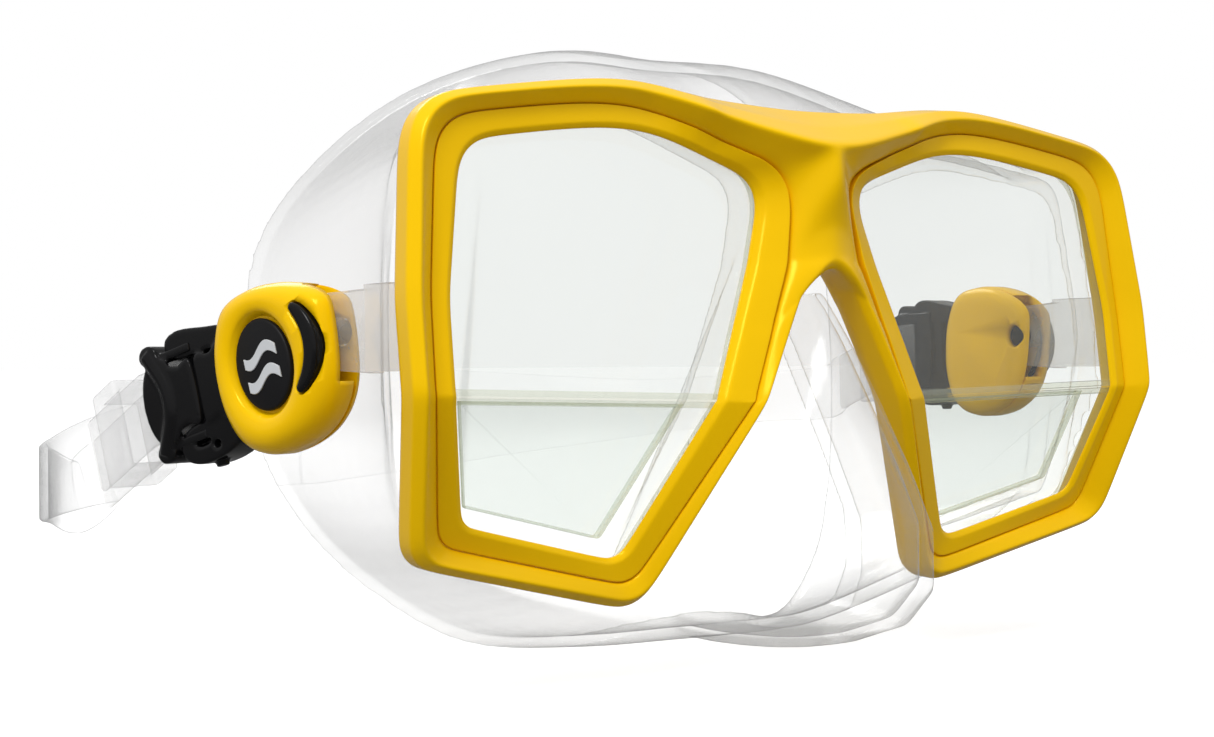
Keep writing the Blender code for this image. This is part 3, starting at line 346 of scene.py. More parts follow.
def corner_values(values, steps=ARC_STEPS, between=EDGE_STEPS):
    out = []
    for i, value in enumerate(values):
        following = values[(i + 1) % len(values)]
        out += [value] * (steps + 1)
        out += [value + (following - value) * k / (between + 1) for k in range(1, between + 1)]
    return np.array(out)


def catmull(a, b, c, d, t):
    return 0.5 * (2 * b + (c - a) * t + (2 * a - 5 * b + 4 * c - d) * t * t
                  + (3 * b - a - 3 * c + d) * t ** 3)


def smooth_loop(points, per_span=3):
    points = [Vector(p) for p in points]
    count = len(points)
    loop = []
    for i in range(count):
        near = [points[(i + k - 1) % count] for k in range(4)]
        loop += [catmull(*near, k / per_span) for k in range(per_span)]
    return loop


def smooth_path(points, per_span):
    points = [Vector(p) for p in points]
    padded = [2 * points[0] - points[1]] + points + [2 * points[-1] - points[-2]]
    path = []
    for i in range(len(points) - 1):
        path += [catmull(*padded[i:i + 4], k / per_span) for k in range(per_span)]
    return path + [points[-1]]


def offset_loop(loop, distance):
    area = sum(p.x * q.y - q.x * p.y for p, q in zip(loop, loop[1:] + loop[:1]))
    sign = 1 if area > 0 else -1
    out = []
    for i, here in enumerate(loop):
        before = (here - loop[i - 1]).normalized()
        after = (loop[(i + 1) % len(loop)] - here).normalized()
        normal = Vector((before.y + after.y, -before.x - after.x)).normalized() * sign
        spread = max(0.5, normal.dot(Vector((after.y, -after.x)) * sign))
        out.append(here + normal * distance / spread)
    return out


def fold_height(x):
    return FOLD_Z + FOLD_RISE * (abs(x) - FOLD_START_X)


def window_depth(x, z):
    above = z - fold_height(x)
    return UPPER_SLOPE * above if above > 0 else -LOWER_SLOPE * above


def eye_outline(corners, grow=0.0):
    loop = rounded_loop(corners)
    per_corner = ARC_STEPS + 1 + EDGE_STEPS
    first, last = SOFT_CORNERS[0] * per_corner - EDGE_STEPS, SOFT_CORNERS[1] * per_corner + ARC_STEPS
    for _ in range(SOFT_PASSES):
        loop[first:last] = [(loop[k - 1] + 2 * loop[k] + loop[k + 1]) / 4 for k in range(first, last)]
    if grow:
        loop = offset_loop(loop, grow)
    for corner in FOLD_CORNERS:
        point = loop[corner * (ARC_STEPS + 1 + EDGE_STEPS) + ARC_STEPS // 2]
        point.y = fold_height(point.x)
    return loop


def eye_row(outline, rises):
    if np.isscalar(rises):
        rises = [rises] * len(outline)
    return [Vector((p.x, window_depth(p.x, p.y) + rise, p.y)) for p, rise in zip(outline, rises)]


def mix_rows(first, second, share):
    return [a.lerp(b, share) for a, b in zip(first, second)]


def full_turn(count):
    return [2 * math.pi * k / count for k in range(count)]


def oval(centre, radii, count=48):
    (x, y), (wide, high) = centre, radii
    return [Vector((x + wide * math.cos(t), y + high * math.sin(t))) for t in full_turn(count)]


# ---------------------------------------------------------------- meshes

def skin(loops, wrap=False, cap=True, fan=None):
    work = bmesh.new()
    rows = [[work.verts.new(p) for p in loop] for loop in loops]
    pairs = list(zip(rows, rows[1:]))
    if wrap:
        pairs.append((rows[-1], rows[0]))
    for first, second in pairs:
        for k in range(len(first)):
            n = (k + 1) % len(first)
            work.faces.new((first[k], first[n], second[n], second[k]))
    if wrap or not cap:
        return work
    work.faces.new(rows[0])
    if fan is None:
        work.faces.new(list(reversed(rows[-1])))
        return work
    hub = work.verts.new(fan)
    for k in range(len(rows[-1])):
        work.faces.new((rows[-1][k], rows[-1][(k + 1) % len(rows[-1])], hub))
    return work


def to_object(name, work, finish=None, mirror=False, local=None, smooth=35.0):
    """An object from a bmesh in millimetres: in the design frame, or in a buckle's local frame."""
    shift = ORIGIN if local is None else Vector()
    for vert in work.verts:
        place = vert.co.copy()
        if mirror:
            place.x = -place.x
        vert.co = (place - shift) * MM
    bmesh.ops.recalc_face_normals(work, faces=work.faces)
    mesh = bpy.data.meshes.new(name)
    work.to_mesh(mesh)
    work.free()
    mesh.shade_smooth()
    if smooth < 180:
        mesh.set_sharp_from_angle(angle=math.radians(smooth))
    made = bpy.data.objects.new(name, mesh)
    bpy.context.scene.collection.objects.link(made)
    if local is not None:
        made.matrix_world = local
    if finish:
        mesh.materials.append(MATERIALS[finish])
    return made


def modifier(obj, kind, **settings):
    step = obj.modifiers.new(kind.lower(), kind)
    for key, value in settings.items():
        setattr(step, key, value)
    return step


def subdivide(obj, levels=2):
    modifier(obj, "SUBSURF", levels=levels, render_levels=levels)


def round_edges(obj, width, segments=2, angle=32.0):
    modifier(obj, "BEVEL", width=width * MM, segments=segments, limit_method="ANGLE",
             angle_limit=math.radians(angle), harden_normals=False)


def bake_down(obj):
    """Apply the modifiers."""
    view = bpy.context.evaluated_depsgraph_get()
    mesh = bpy.data.meshes.new_from_object(obj.evaluated_get(view))
    old = obj.data
    obj.modifiers.clear()
    obj.data = mesh
    bpy.data.meshes.remove(old)
    return obj


def cut(obj, work, operation="DIFFERENCE", mirror=False, local=None):
    """Boolean with a temporary tool, applied at once."""
    tool = to_object("tool", work, mirror=mirror, local=local)
    bpy.context.view_layer.update()
    modifier(obj, "BOOLEAN", operation=operation, solver="EXACT", object=tool)
    bake_down(obj)
    bpy.data.objects.remove(tool, do_unlink=True)


def slab(outline, low, high, across="x"):
    def place(p, level):
        places = {"x": (level, p[0], p[1]), "y": (p[0], level, p[1]), "z": (p[0], p[1], level)}
        return Vector(places[across])
    return skin([[place(p, low) for p in outline], [place(p, high) for p in outline]])


def box_loop(low, high):
    return [Vector((low[0], low[1])), Vector((high[0], low[1])), Vector(high), Vector((low[0], high[1]))]


def own(obj, body, *nodes):
    """The piece moves with a CAD body and stands for these CAD nodes."""
    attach(obj, body)
    if nodes:
        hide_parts(*nodes)
    return obj


# ---------------------------------------------------------------- frame, bezels, windows

def soften_row(row):
    """Smooth a row's kinks on the mask's middle plane and where the fold crosses it."""
    middle = ARC_STEPS // 2
    per_corner = ARC_STEPS + 1 + EDGE_STEPS
    for corner in FOLD_CORNERS:
        first = corner * per_corner + middle - FOLD_REACH
        span = range(first, first + 2 * FOLD_REACH + 1)
        for _ in range(FOLD_PASSES):
            row[first:first + len(span)] = [(row[k - 1] + 2 * row[k] + row[k + 1]) / 4 for k in span]
    above = [middle - k for k in range(BRIDGE_POINTS)]
    below = [per_corner + middle + k for k in range(BRIDGE_POINTS)]
    for chain, passes in ((above, BRIDGE_PASSES), (below, ARCH_PASSES)):
        for _ in range(passes):
            points = [row[k].copy() for k in chain]
            near = [Vector((-points[1].x, points[1].y, points[1].z))] + points
            for n in range(BRIDGE_POINTS - 1):
                row[chain[n]] = (near[n] + 2 * points[n] + points[n + 1]) / 4
    return row


def make_frame():
    seam = eye_row(eye_outline(SEAM, SEAM_GAP), corner_values(SEAM_RISE))
    deep = eye_row(eye_outline(SEAM, SEAM_GAP), 1.2)
    shelf = eye_outline(SEAM, -SHELF_DEPTH)
    rows = [eye_row(eye_outline(SEAM, SEAM_GAP), 2.9), eye_row(shelf, 2.6), eye_row(shelf, 1.35), deep,
            mix_rows(seam, deep, 0.12)]
    outer = []
    for table in (CREST, BROW, WALL_BACK, REAR):
        outer.append(soften_row(eye_row(eye_outline(table), corner_values([c[3] for c in table]))))
    lip = mix_rows(seam, outer[0], 0.12)
    rows += [lip, mix_rows(seam, outer[0], 0.72), outer[0], mix_rows(outer[0], outer[1], 0.35)]
    rows += [mix_rows(outer[0], outer[1], 0.80), outer[1], mix_rows(outer[1], outer[2], 0.20)]
    rows += [mix_rows(outer[1], outer[2], 0.85), outer[2], outer[3]]
    back = eye_row(eye_outline(SEAM, SEAM_GAP), FRAME_BACK)
    rows += [mix_rows(outer[3], back, 0.8), back]
    work = skin(rows, wrap=True)
    flat = [f for f in work.faces if all(abs(v.co.x) < 1e-4 for v in f.verts)]
    bmesh.ops.delete(work, geom=flat, context="FACES")
    double = bmesh.ops.duplicate(work, geom=work.verts[:] + work.edges[:] + work.faces[:])
    for item in double["geom"]:
        if isinstance(item, bmesh.types.BMVert):
            item.co.x = -item.co.x
    bmesh.ops.remove_doubles(work, verts=work.verts[:], dist=1e-3)
    frame_piece = to_object("frame_moulding", work, "yellow", smooth=180)
    group = frame_piece.vertex_groups.new(name="bridge")
    middle = -ORIGIN.x * MM
    for vert in frame_piece.data.vertices:
        height = vert.co.z / MM + ORIGIN.z
        share = 1 - abs(vert.co.x - middle) / (BRIDGE_REACH * MM)
        share = min(share, (BRIDGE_TOP - height) / BRIDGE_FADE)
        if share > 0:
            group.add([vert.index], min(1.0, 1.6 * share), "REPLACE")
    modifier(frame_piece, "SMOOTH", factor=0.5, iterations=BRIDGE_SMOOTHING, vertex_group="bridge")
    subdivide(frame_piece)
    own(frame_piece, "mask", "main_frame")


def make_bezel(side):
    opening = eye_outline(OPENING)
    seam = eye_outline(SEAM, -SEAM_GAP)
    front = eye_row(opening, 0.15)
    edge = eye_row(seam, corner_values(SEAM_RISE))
    deep_edge = eye_row(seam, 0.95)
    low = eye_row(opening, 0.95)
    outward = eye_row(eye_outline(OPENING, 0.9), corner_values([0.28 * r - 0.35 for r in SEAM_RISE]))
    rows = [low, mix_rows(front, low, 0.4), front, mix_rows(front, outward, 0.5), outward,
            mix_rows(outward, edge, 0.15), mix_rows(outward, edge, 0.88), edge,
            mix_rows(edge, deep_edge, 0.12), deep_edge]
    bezel = to_object("bezel_ring_" + side, skin(rows, wrap=True), "yellow", mirror=side == "left",
                      smooth=180)
    subdivide(bezel)
    own(bezel, "mask", "bezel_" + side)


def pane_outline(inset, above, margin):
    loop = offset_loop(rounded_loop(OPENING, 8, 3), -inset)
    sign = 1 if above else -1
    heights = [(p.y - fold_height(p.x)) * sign - margin for p in loop]
    kept = []
    for i, here in enumerate(loop):
        n = (i + 1) % len(loop)
        if heights[i] > 0:
            kept.append(here)
        if heights[i] * heights[n] < 0:
            kept.append(here.lerp(loop[n], heights[i] / (heights[i] - heights[n])))
    return kept


def pane_row(outline, depth, above):
    slope = UPPER_SLOPE if above else -LOWER_SLOPE
    return [Vector((p.x, slope * (p.y - fold_height(p.x)) + depth, p.y)) for p in outline]


def make_pane(name, rows, side, node):
    """A glass pane with polished faces and a ground, faintly green edge."""
    pane = to_object(name, skin(rows), "glass", mirror=side == "left")
    pane.data.materials.append(MATERIALS["glass_edge"])
    for face in pane.data.polygons:
        if len(face.vertices) == 4:
            face.material_index = 1
    own(pane, "mask", *node)


def make_pane_joint(side):
    """The bonded joint where the two panes meet, a pale band along the fold."""
    front, back = LENS_FRONT - 0.03, LENS_FRONT + LENS_THICK + 0.03
    section = [(rise, front) for rise in (JOINT_HALF, 0.0, -JOINT_HALF)]
    section += [(rise, back) for rise in (-JOINT_HALF, 0.0, JOINT_HALF)]
    rows = []
    for x in np.linspace(OPENING[3][0] - 1.5, OPENING[6][0] + 1.5, 13):
        level = fold_height(x)
        rows.append([Vector((x, window_depth(x, level + rise) + depth, level + rise))
                     for rise, depth in section])
    joint = to_object("pane_joint_" + side, skin(rows), "joint", mirror=side == "left")
    own(joint, "mask")


def make_windows(side):
    back = LENS_FRONT + LENS_THICK
    upper = pane_outline(-LENS_OVERLAP, True, 0.2)
    rows = [pane_row(upper, LENS_FRONT, True), pane_row(upper, back, True)]
    make_pane("upper_window_" + side, rows, side, ["lens_" + side])
    lower = pane_outline(-LENS_OVERLAP, False, 0.2)
    rows = [pane_row(lower, LENS_FRONT, False), pane_row(lower, back, False)]
    make_pane("lower_window_" + side, rows, side, ["reader_lens_" + side])
    disc = pane_outline(READER_INSET, False, 0.6)
    tight = offset_loop(disc, -0.5)
    rows = [pane_row(disc, back + 0.02, False), pane_row(disc, back + READER_RISE - 0.4, False),
            pane_row(tight, back + READER_RISE, False)]
    make_pane("reader_disc_" + side, rows, side, [])
    make_pane_joint(side)


# ---------------------------------------------------------------- skirt

def mirrored_loop(half):
    half = [Vector(p) for p in half]
    return half + [Vector((-p.x, *p[1:])) for p in reversed(half[1:-1])]


def body_loops(shrink, front_y, overrun=0.0):
    front = smooth_loop(mirrored_loop(BODY_FRONT), 4)
    rim = smooth_loop(mirrored_loop(FACE_RIM), 4)
    loops = []
    for k in range(BODY_SECTIONS + 1):
        t = k / BODY_SECTIONS
        swell = math.sin(math.pi * t)
        pinch = WAIST * math.sin(math.pi * math.sqrt(t))
        flat = []
        for a, b in zip(front, rim):
            x = a.x + (b.x - a.x) * t
            z = a.y + (b.z - a.y) * t
            centre = max(0.0, 1 - (x / 75.0) ** 2)
            crown = min(1.0, max(0.0, (z - 10) / 20))
            belly = min(1.0, max(0.0, -(z + 10) / 15))
            bulge = CROWN_SWELL * crown - BELLY_SWELL * belly
            squeeze = pinch * math.exp(-((z - WAIST_Z) / WAIST_REACH) ** 2)
            narrower = x - math.copysign(squeeze, x) * min(1.0, abs(x) / 60)
            flat.append(Vector((narrower, z + bulge * swell * centre)))
        inner = offset_loop(flat, -shrink) if shrink else flat
        loops.append([Vector((p.x, front_y + (b.y - front_y) * t, p.y)) for p, b in zip(inner, rim)])
    if overrun:
        loops.append([p + Vector((0, overrun, 0)) for p in loops[-1]])
    return loops


def nose_loops(shrink, lift, back_y):
    loops = []
    for z, half_width, front_y in NOSE_LEVELS:
        w = half_width - shrink
        f = front_y + shrink
        half = [(0, f), (0.36 * w, f + 0.5), (0.66 * w, f + 3.2), (0.88 * w, f + 8.5), (w, f + 15),
                (w, back_y)]
        right = [Vector((x, y, z + lift)) for x, y in half]
        loops.append(right + [Vector((-x, y, z + lift)) for x, y in reversed(half[1:])])
    return loops


def folded_slab(outline, front, back, fold_back=True):
    work = slab(outline, front, back, "y")
    everything = work.verts[:] + work.edges[:] + work.faces[:]
    bmesh.ops.bisect_plane(work, geom=everything, dist=1e-6, plane_no=(-FOLD_RISE, 0, 1),
                           plane_co=(FOLD_START_X, 0, FOLD_Z))
    for vert in work.verts:
        if fold_back or vert.co.y < (front + back) / 2:
            vert.co.y += window_depth(vert.co.x, vert.co.z)
    return work


def eye_tunnel(shrink, front, back_y):
    return folded_slab(eye_outline(SEAM, -SKIRT_FIT - shrink), front, back_y, fold_back=False)


def make_skirt():
    mouth = Vector(MOUTH_CENTRE)
    skirt = to_object("skirt_moulding", skin(body_loops(0, BODY_FRONT_Y), fan=mouth), "silicone")
    cut(skirt, skin(nose_loops(0, 0, NOSE_BACK_Y)), "UNION")
    for mirror in (False, True):
        cut(skirt, eye_tunnel(0, FLANGE_FRONT, BODY_FRONT_Y + 3), "UNION", mirror)
    inside = skin(body_loops(SKIRT_WALL, BODY_FRONT_Y + SKIRT_WALL, 6.0), fan=mouth + Vector((0, 9, 0)))
    cut(skirt, inside)
    cut(skirt, skin(nose_loops(SKIRT_WALL, 1.4, NOSE_BACK_Y + 9)))
    for mirror in (False, True):
        cut(skirt, eye_tunnel(SKIRT_WALL, FLANGE_BACK, BODY_FRONT_Y + SKIRT_WALL + 2.7), mirror=mirror)
        hole = folded_slab(eye_outline(OPENING, -FLANGE_INSET), FLANGE_FRONT - 3, FLANGE_BACK + 3)
        cut(skirt, hole, mirror=mirror)
    modifier(skirt, "REMESH", mode="VOXEL", voxel_size=SKIRT_VOXEL * MM, use_smooth_shade=True)
    modifier(skirt, "SMOOTH", factor=0.5, iterations=SKIRT_SMOOTHING)
    bake_down(skirt)
    if not skirt.data.materials:
        skirt.data.materials.append(MATERIALS["silicone"])
    own(skirt, "mask", "skirt")


# ---------------------------------------------------------------- buckles

def local_frame(side):
    sign = -1 if side == "left" else 1
    x, y, z = PIVOT[side]
    place = (Vector((sign * x, y, z)) - ORIGIN) * MM
    turn = Euler((math.radians(-DROOP[side]), 0, math.radians(-sign * SPLAY[side])))
    return Matrix.Translation(place) @ turn.to_matrix().to_4x4()


def crescent(grow):
    """The release button's outline: a stroke along an arc, widest in its middle, with round ends."""
    y, z, radius = BUTTON_ARC
    first, last = (math.radians(turn) for turn in BUTTON_TURNS)
    middle_half, end_half = BUTTON_HALF
    outer, inner = [], []
    for k in range(25):
        turn = first + (last - first) * k / 24
        half = end_half + (middle_half - end_half) * math.sin(math.pi * k / 24) ** 0.6 + grow
        outer.append(Vector((y + (radius + half) * math.cos(turn), z + (radius + half) * math.sin(turn))))
        inner.append(Vector((y + (radius - half) * math.cos(turn), z + (radius - half) * math.sin(turn))))
    ends = []
    for at, start in ((last, last), (first, first + math.pi)):
        centre = Vector((y + radius * math.cos(at), z + radius * math.sin(at)))
        turns = [start + math.pi * k / 8 for k in range(1, 8)]
        ends.append([centre + (end_half + grow) * Vector((math.cos(t), math.sin(t))) for t in turns])
    return outer + ends[0] + inner[::-1] + ends[1]


def egg_ring(grow, count=96):
    """The egg outline sampled at even angles about the badge centre, moved outwards by grow."""
    dense = smooth_loop([(y + EGG_CENTRE[0], z + EGG_CENTRE[1]) for y, z in EGG], 24)
    centre = Vector(BADGE_CENTRE)
    polar = sorted((math.atan2(p.y - centre.y, p.x - centre.x), (p - centre).length) for p in dense)
    angles = np.array([a for a, _ in polar])
    reach = np.array([r for _, r in polar])
    turns = np.linspace(-math.pi, math.pi, count, endpoint=False)
    radii = np.interp(turns, angles, reach, period=2 * math.pi) + grow
    return [Vector((centre.x + r * math.cos(t), centre.y + r * math.sin(t))) for t, r in zip(turns, radii)]


def dish_ring(radii, count=96):
    turns = [-math.pi + 2 * math.pi * k / count for k in range(count)]
    y, z = BADGE_CENTRE
    return [Vector((y + radii[0] * math.cos(t), z + radii[1] * math.sin(t))) for t in turns]


def rise_row(ring, height):
    return [Vector((height, p.x, p.y)) for p in ring]


def make_buckle(side):
    mirror = side == "left"
    place = local_frame(side)
    body = "buckle_" + side
    brim, edge = dish_ring((7.2, 8.9)), egg_ring(0)
    crown = []
    for share, height in ((0.0, 5.05), (0.10, 5.25), (0.35, 5.45), (0.62, 5.15), (0.84, 4.2), (0.96, 2.9)):
        crown.append(rise_row([a.lerp(b, share) for a, b in zip(brim, edge)], height))
    rows = [rise_row(dish_ring((5.6, 7.2)), 3.5), rise_row(dish_ring((6.2, 7.85)), 3.5),
            rise_row(dish_ring((6.4, 8.1)), 3.75), rise_row(dish_ring((6.9, 8.6)), 4.8)]
    rows += crown
    for grow, height in ((0, 1.8), (0, -1.3), (-0.25, -1.75), (-0.9, -1.9), (-1.8, -1.9), (-1.9, 2.2)):
        rows.append(rise_row(egg_ring(grow), height))
    shell = to_object("shell_" + side, skin(rows), "yellow", mirror, place, 40)
    cut(shell, slab(crescent(0.3), 0, 9), mirror=mirror, local=place)
    cut(shell, slab(box_loop((-6, -8.4), (3, 8.4)), -3, 1.9), mirror=mirror, local=place)
    tongue_slot = slab(box_loop((18.0, CLIP_Z - 8.3), (27, CLIP_Z + 8.3)), -3, 1.9)
    cut(shell, tongue_slot, mirror=mirror, local=place)
    own(shell, body, "buckle_shell_" + side)
    rows = [rise_row(egg_ring(-4.0), -4.3), rise_row(egg_ring(-2.6), -4.25), rise_row(egg_ring(-1.2), -3.9),
            rise_row(egg_ring(-0.4), -3.1), rise_row(egg_ring(-0.2), -2.3), rise_row(egg_ring(-0.6), -2.2)]
    cover = to_object("cover_" + side, skin(rows), "yellow", mirror, place, 40)
    cut(cover, slab(oval((0, 0), (2.35, 2.35), 32), -6, -1), mirror=mirror, local=place)
    own(cover, body, "buckle_back_" + side)
    rows = [rise_row(dish_ring((5.85, 7.45)), 3.7), rise_row(dish_ring((5.9, 7.5)), 4.25),
            rise_row(dish_ring((5.75, 7.35)), 4.5), rise_row(dish_ring((5.4, 7.0)), 4.6),
            rise_row(dish_ring((0.05, 0.05)), 4.75)]
    badge = to_object("badge_plate_" + side, skin(rows), "satin", mirror, place, 60)
    own(badge, body, "badge_" + side)
    make_badge_mark(side, place, mirror, body)
    rows = [rise_row(crescent(0), 3.4), rise_row(crescent(0), 5.45), rise_row(crescent(-0.15), 5.75),
            rise_row(crescent(-0.5), 5.95)]
    button = to_object("button_" + side, skin(rows), "black", mirror, place, 50)
    moulded(button, 0.16, 4)
    own(button, "button_" + side, "release_button_" + side)
    pin = [(-3.3, 1.6), (-3.1, 2.0), (1.6, 2.0), (1.8, 1.7)]
    pin_rows = [[Vector((x, r * math.cos(t), r * math.sin(t))) for t in full_turn(32)] for x, r in pin]
    own(to_object("pin_" + side, skin(pin_rows), "satin", mirror, place, 40), "mask", "pivot_pin_" + side)
    blade = [(8.5, -0.7), (16.7, -0.7), (17.4, 0.2), (16.7, 0.7), (8.5, 0.7)]
    pawl = to_object("pawl_blade_" + side, slab([(x, y) for y, x in blade], -3.6, 3.6, "z"), "steel",
                     mirror, place)
    round_edges(pawl, 0.15)
    own(pawl, "pawl_" + side, "ratchet_pawl_" + side)


def make_badge_mark(side, place, mirror, body):
    """A plain generic mark: two stacked waves."""
    work = bmesh.new()
    for offset in (-2.2, 1.6):
        spine = []
        for k in range(17):
            height = 1.1 * math.sin(2 * math.pi * k / 16 * 0.9)
            spine.append((BADGE_CENTRE[0] - 3.6 + 7.2 * k / 16, BADGE_CENTRE[1] + offset + height))
        lower = [Vector((y, z - 0.9)) for y, z in spine]
        upper = [Vector((y, z + 0.9)) for y, z in reversed(spine)]
        part = slab(lower + upper, 4.3, 4.9)
        mesh = bpy.data.meshes.new("wave")
        part.to_mesh(mesh)
        part.free()
        work.from_mesh(mesh)
        bpy.data.meshes.remove(mesh)
    mark = to_object("badge_waves_" + side, work, "mark", mirror, place)
    round_edges(mark, 0.1)
    own(mark, body)


def make_arm(side):
    """The clear link: a moulded strip that leaves the skirt and ends in an eye round the pin."""
    mirror = side == "left"
    splay = math.radians(SPLAY[side])
    turns = [math.radians(15 * k) for k in range(-6, 7)]
    eye = [(6.0 * math.cos(t), 6.0 * math.sin(t)) for t in turns]
    outline = [(-9.5, -6.6)] + eye + [(-9.5, 6.6)]
    paddle = skin([[Vector((x, y, z)) for y, z in outline] for x in (-1.5, 1.5)])
    turn = Matrix.Translation(PIVOT[side]) @ Matrix.Rotation(-splay, 4, "Z")
    bmesh.ops.transform(paddle, matrix=turn, verts=paddle.verts)
    arm = to_object("arm_link_" + side, paddle, "arm", mirror)
    front = turn @ Vector((0, -8.5, 0))
    root = Vector((76.3, 8.6, 0))
    middle = (Vector((front.x, front.y, 0)) + root) / 2 + Vector((0, 0.5, 0))
    route = smooth_path([root, middle, (front.x, front.y, 0)], 6)
    rows = []
    for i, p in enumerate(route):
        along = (route[min(len(route) - 1, i + 1)] - route[max(0, i - 1)]).normalized()
        out = Vector((along.y, -along.x, 0)) * 1.5
        top = Vector((0, 0, PIVOT[side][2] + 7.2))
        low = Vector((0, 0, PIVOT[side][2] - 6.3))
        rows.append([p + out + top, p - out + top, p - out + low, p + out + low])
    cut(arm, skin(rows), "UNION", mirror)
    hole = slab(oval((0, 0), (2.35, 2.35), 32), -4, 4)
    bmesh.ops.transform(hole, matrix=turn, verts=hole.verts)
    cut(arm, hole, mirror=mirror)
    round_edges(arm, 0.5, 3)
    own(arm, "mask", "side_arm_" + side)


def moulded(piece, voxel=0.28, passes=5):
    """Melt joined blocks into one softly rounded moulding."""
    modifier(piece, "REMESH", mode="VOXEL", voxel_size=voxel * MM, use_smooth_shade=True)
    modifier(piece, "SMOOTH", factor=0.5, iterations=passes)
    finish = piece.data.materials[0]
    bake_down(piece)
    if not piece.data.materials:
        piece.data.materials.append(finish)


def join_slabs(piece, mirror, place, *slabs):
    for work in slabs:
        cut(piece, work, "UNION", mirror, place)


def lifted(outline, by):
    return [Vector((p[0], p[1] + by)) for p in outline]


def make_bracket(side, mirror, place):
    """The black fork on the buckle: tongue, cross bar, waist block, upper arm and fuller lower arm."""
    tongue = slab(box_loop((18.9, CLIP_Z - 7.4), (25.6, CLIP_Z + 7.4)), -1.5, 1.5)
    bracket = to_object("bracket_moulding_" + side, tongue, "black", mirror, place)
    upper = smooth_loop(lifted(UPPER_ARM, CLIP_Z), 5)
    lower = smooth_loop(lifted(LOWER_ARM, CLIP_Z), 5)
    join_slabs(bracket, mirror, place,
               slab(box_loop((24.6, CLIP_Z - 9.4), (27.0, CLIP_Z + 8.4)), -2.8, 0.2),
               slab(smooth_loop(lifted(WAIST_EDGE, CLIP_Z), 5), -1.6, 3.5),
               slab(upper, -2.8, 3.1), slab(lower, -2.8, 3.3),
               slab(oval((1.0, 28.0), (1.0, 1.2), 24), CLIP_Z - 13.0, CLIP_Z - 11.0, "z"))
    cut(bracket, slab(oval((0, LOOP_PIVOT_Y), (1.3, 1.3), 24), -15, 15, "z"), mirror=mirror, local=place)
    for spot, radii in (((29.2, -8.6), (1.8, 0.55)), ((26.2, -9.6), (0.8, 0.65))):
        recess = oval((spot[0], spot[1] + CLIP_Z), radii, 24)
        cut(bracket, slab(recess, 1.7, 5.0), mirror=mirror, local=place)
    moulded(bracket, 0.24, 6)
    own(bracket, "buckle_" + side, "strap_bracket_" + side)


def make_loop(side, mirror, shift):
    """The flared collar: two waisted plates joined by rails, with a dark plate across its mouth, painted
    shade standing for the shadowed opening.
    """
    outer_edge = MOUTH_EDGE + [(y, -z) for y, z in reversed(MOUTH_EDGE[:-1])]
    inner_edge = BACK_EDGE + [(y, -z) for y, z in reversed(BACK_EDGE[:-1])]
    loop = to_object("loop_moulding_" + side, slab(smooth_loop(outer_edge, 5), 1.6, 4.1), "black",
                     mirror, shift)
    rails = [slab(box_loop((-3.0, low), (7.6, low + 1.5)), -3.4, 3.4) for low in (6.7, -8.2)]
    for height in (8.3, -8.3):
        rails.append(slab(oval((6.3, height), (2.1, 1.8), 24), -3.0, 4.1))
    join_slabs(loop, mirror, shift, slab(smooth_loop(inner_edge, 5), -3.6, -2.0), *rails)
    # a black plate filling the collar's mouth: painted shade where the opening lies in shadow
    join_slabs(loop, mirror, shift, slab(oval(MOUTH_SHADE_CENTRE_YZ, MOUTH_SHADE_RADII, 40), 3.2, 4.1))
    lip = smooth_path([(y, z) for y, z in LIP_LINE], 4)
    bead = []
    for k, p in enumerate(lip):
        along = (lip[min(k + 1, len(lip) - 1)] - lip[max(k - 1, 0)]).normalized()
        bead.append([Vector((3.5 + 1.3 * math.sin(t), p.x - along.y * 1.6 * math.cos(t),
                             p.y + along.x * 1.6 * math.cos(t))) for t in full_turn(12)])
    join_slabs(loop, mirror, shift, skin(bead))
    moulded(loop, 0.26, 5)
    own(loop, "loop_" + side, "strap_loop_" + side)


def make_clip(side):
    mirror = side == "left"
    place = local_frame(side)
    make_bracket(side, mirror, place)
    loop_body = "loop_" + side
    shift = place @ Matrix.Translation(Vector((0, LOOP_PIVOT_Y, CLIP_Z)) * MM)
    make_loop(side, mirror, shift)
    for label, low, high in (("upper", 6.8, 10.4), ("lower", -10.4, -6.8)):
        bar = slab(oval((0, 0), (1.0, 1.0), 24), low, high, "z")
        pin = to_object("loop_axle_%s_%s" % (label, side), bar, "steel", mirror, shift)
        round_edges(pin, 0.2)
        own(pin, loop_body, "loop_pin_%s_%s" % (label, side))
    roller_place = shift @ Matrix.Translation(Vector((0, ROLLER_Y - LOOP_PIVOT_Y, 0)) * MM)
    barrel = ((-6.4, 1.3), (-6.1, 1.6), (-1.0, 1.6), (0, 1.45), (1.0, 1.6), (6.1, 1.6), (6.4, 1.3))
    roller_rows = [[Vector((r * math.cos(t), r * math.sin(t), z)) for t in full_turn(24)] for z, r in barrel]
    roller = to_object("roller_barrel_" + side, skin(roller_rows), "satin", mirror, roller_place)
    own(roller, "roller_" + side, "strap_roller_" + side)
    make_strap_end(side, shift, mirror)


def sag(work):
    for vert in work.verts:
        vert.co.z -= STRAP_SAG * max(0.0, vert.co.y - (SAG_START_Y - LOOP_PIVOT_Y))
    return work


def strap_corners(tall):
    """The strap's cross-section with its corners cut by half a millimetre."""
    half = STRAP_THICK / 2
    return ((half, tall - 0.5), (half - 0.5, tall), (-half + 0.5, tall), (-half, tall - 0.5),
            (-half, 0.5 - tall), (-half + 0.5, -tall), (half - 0.5, -tall), (half, 0.5 - tall))


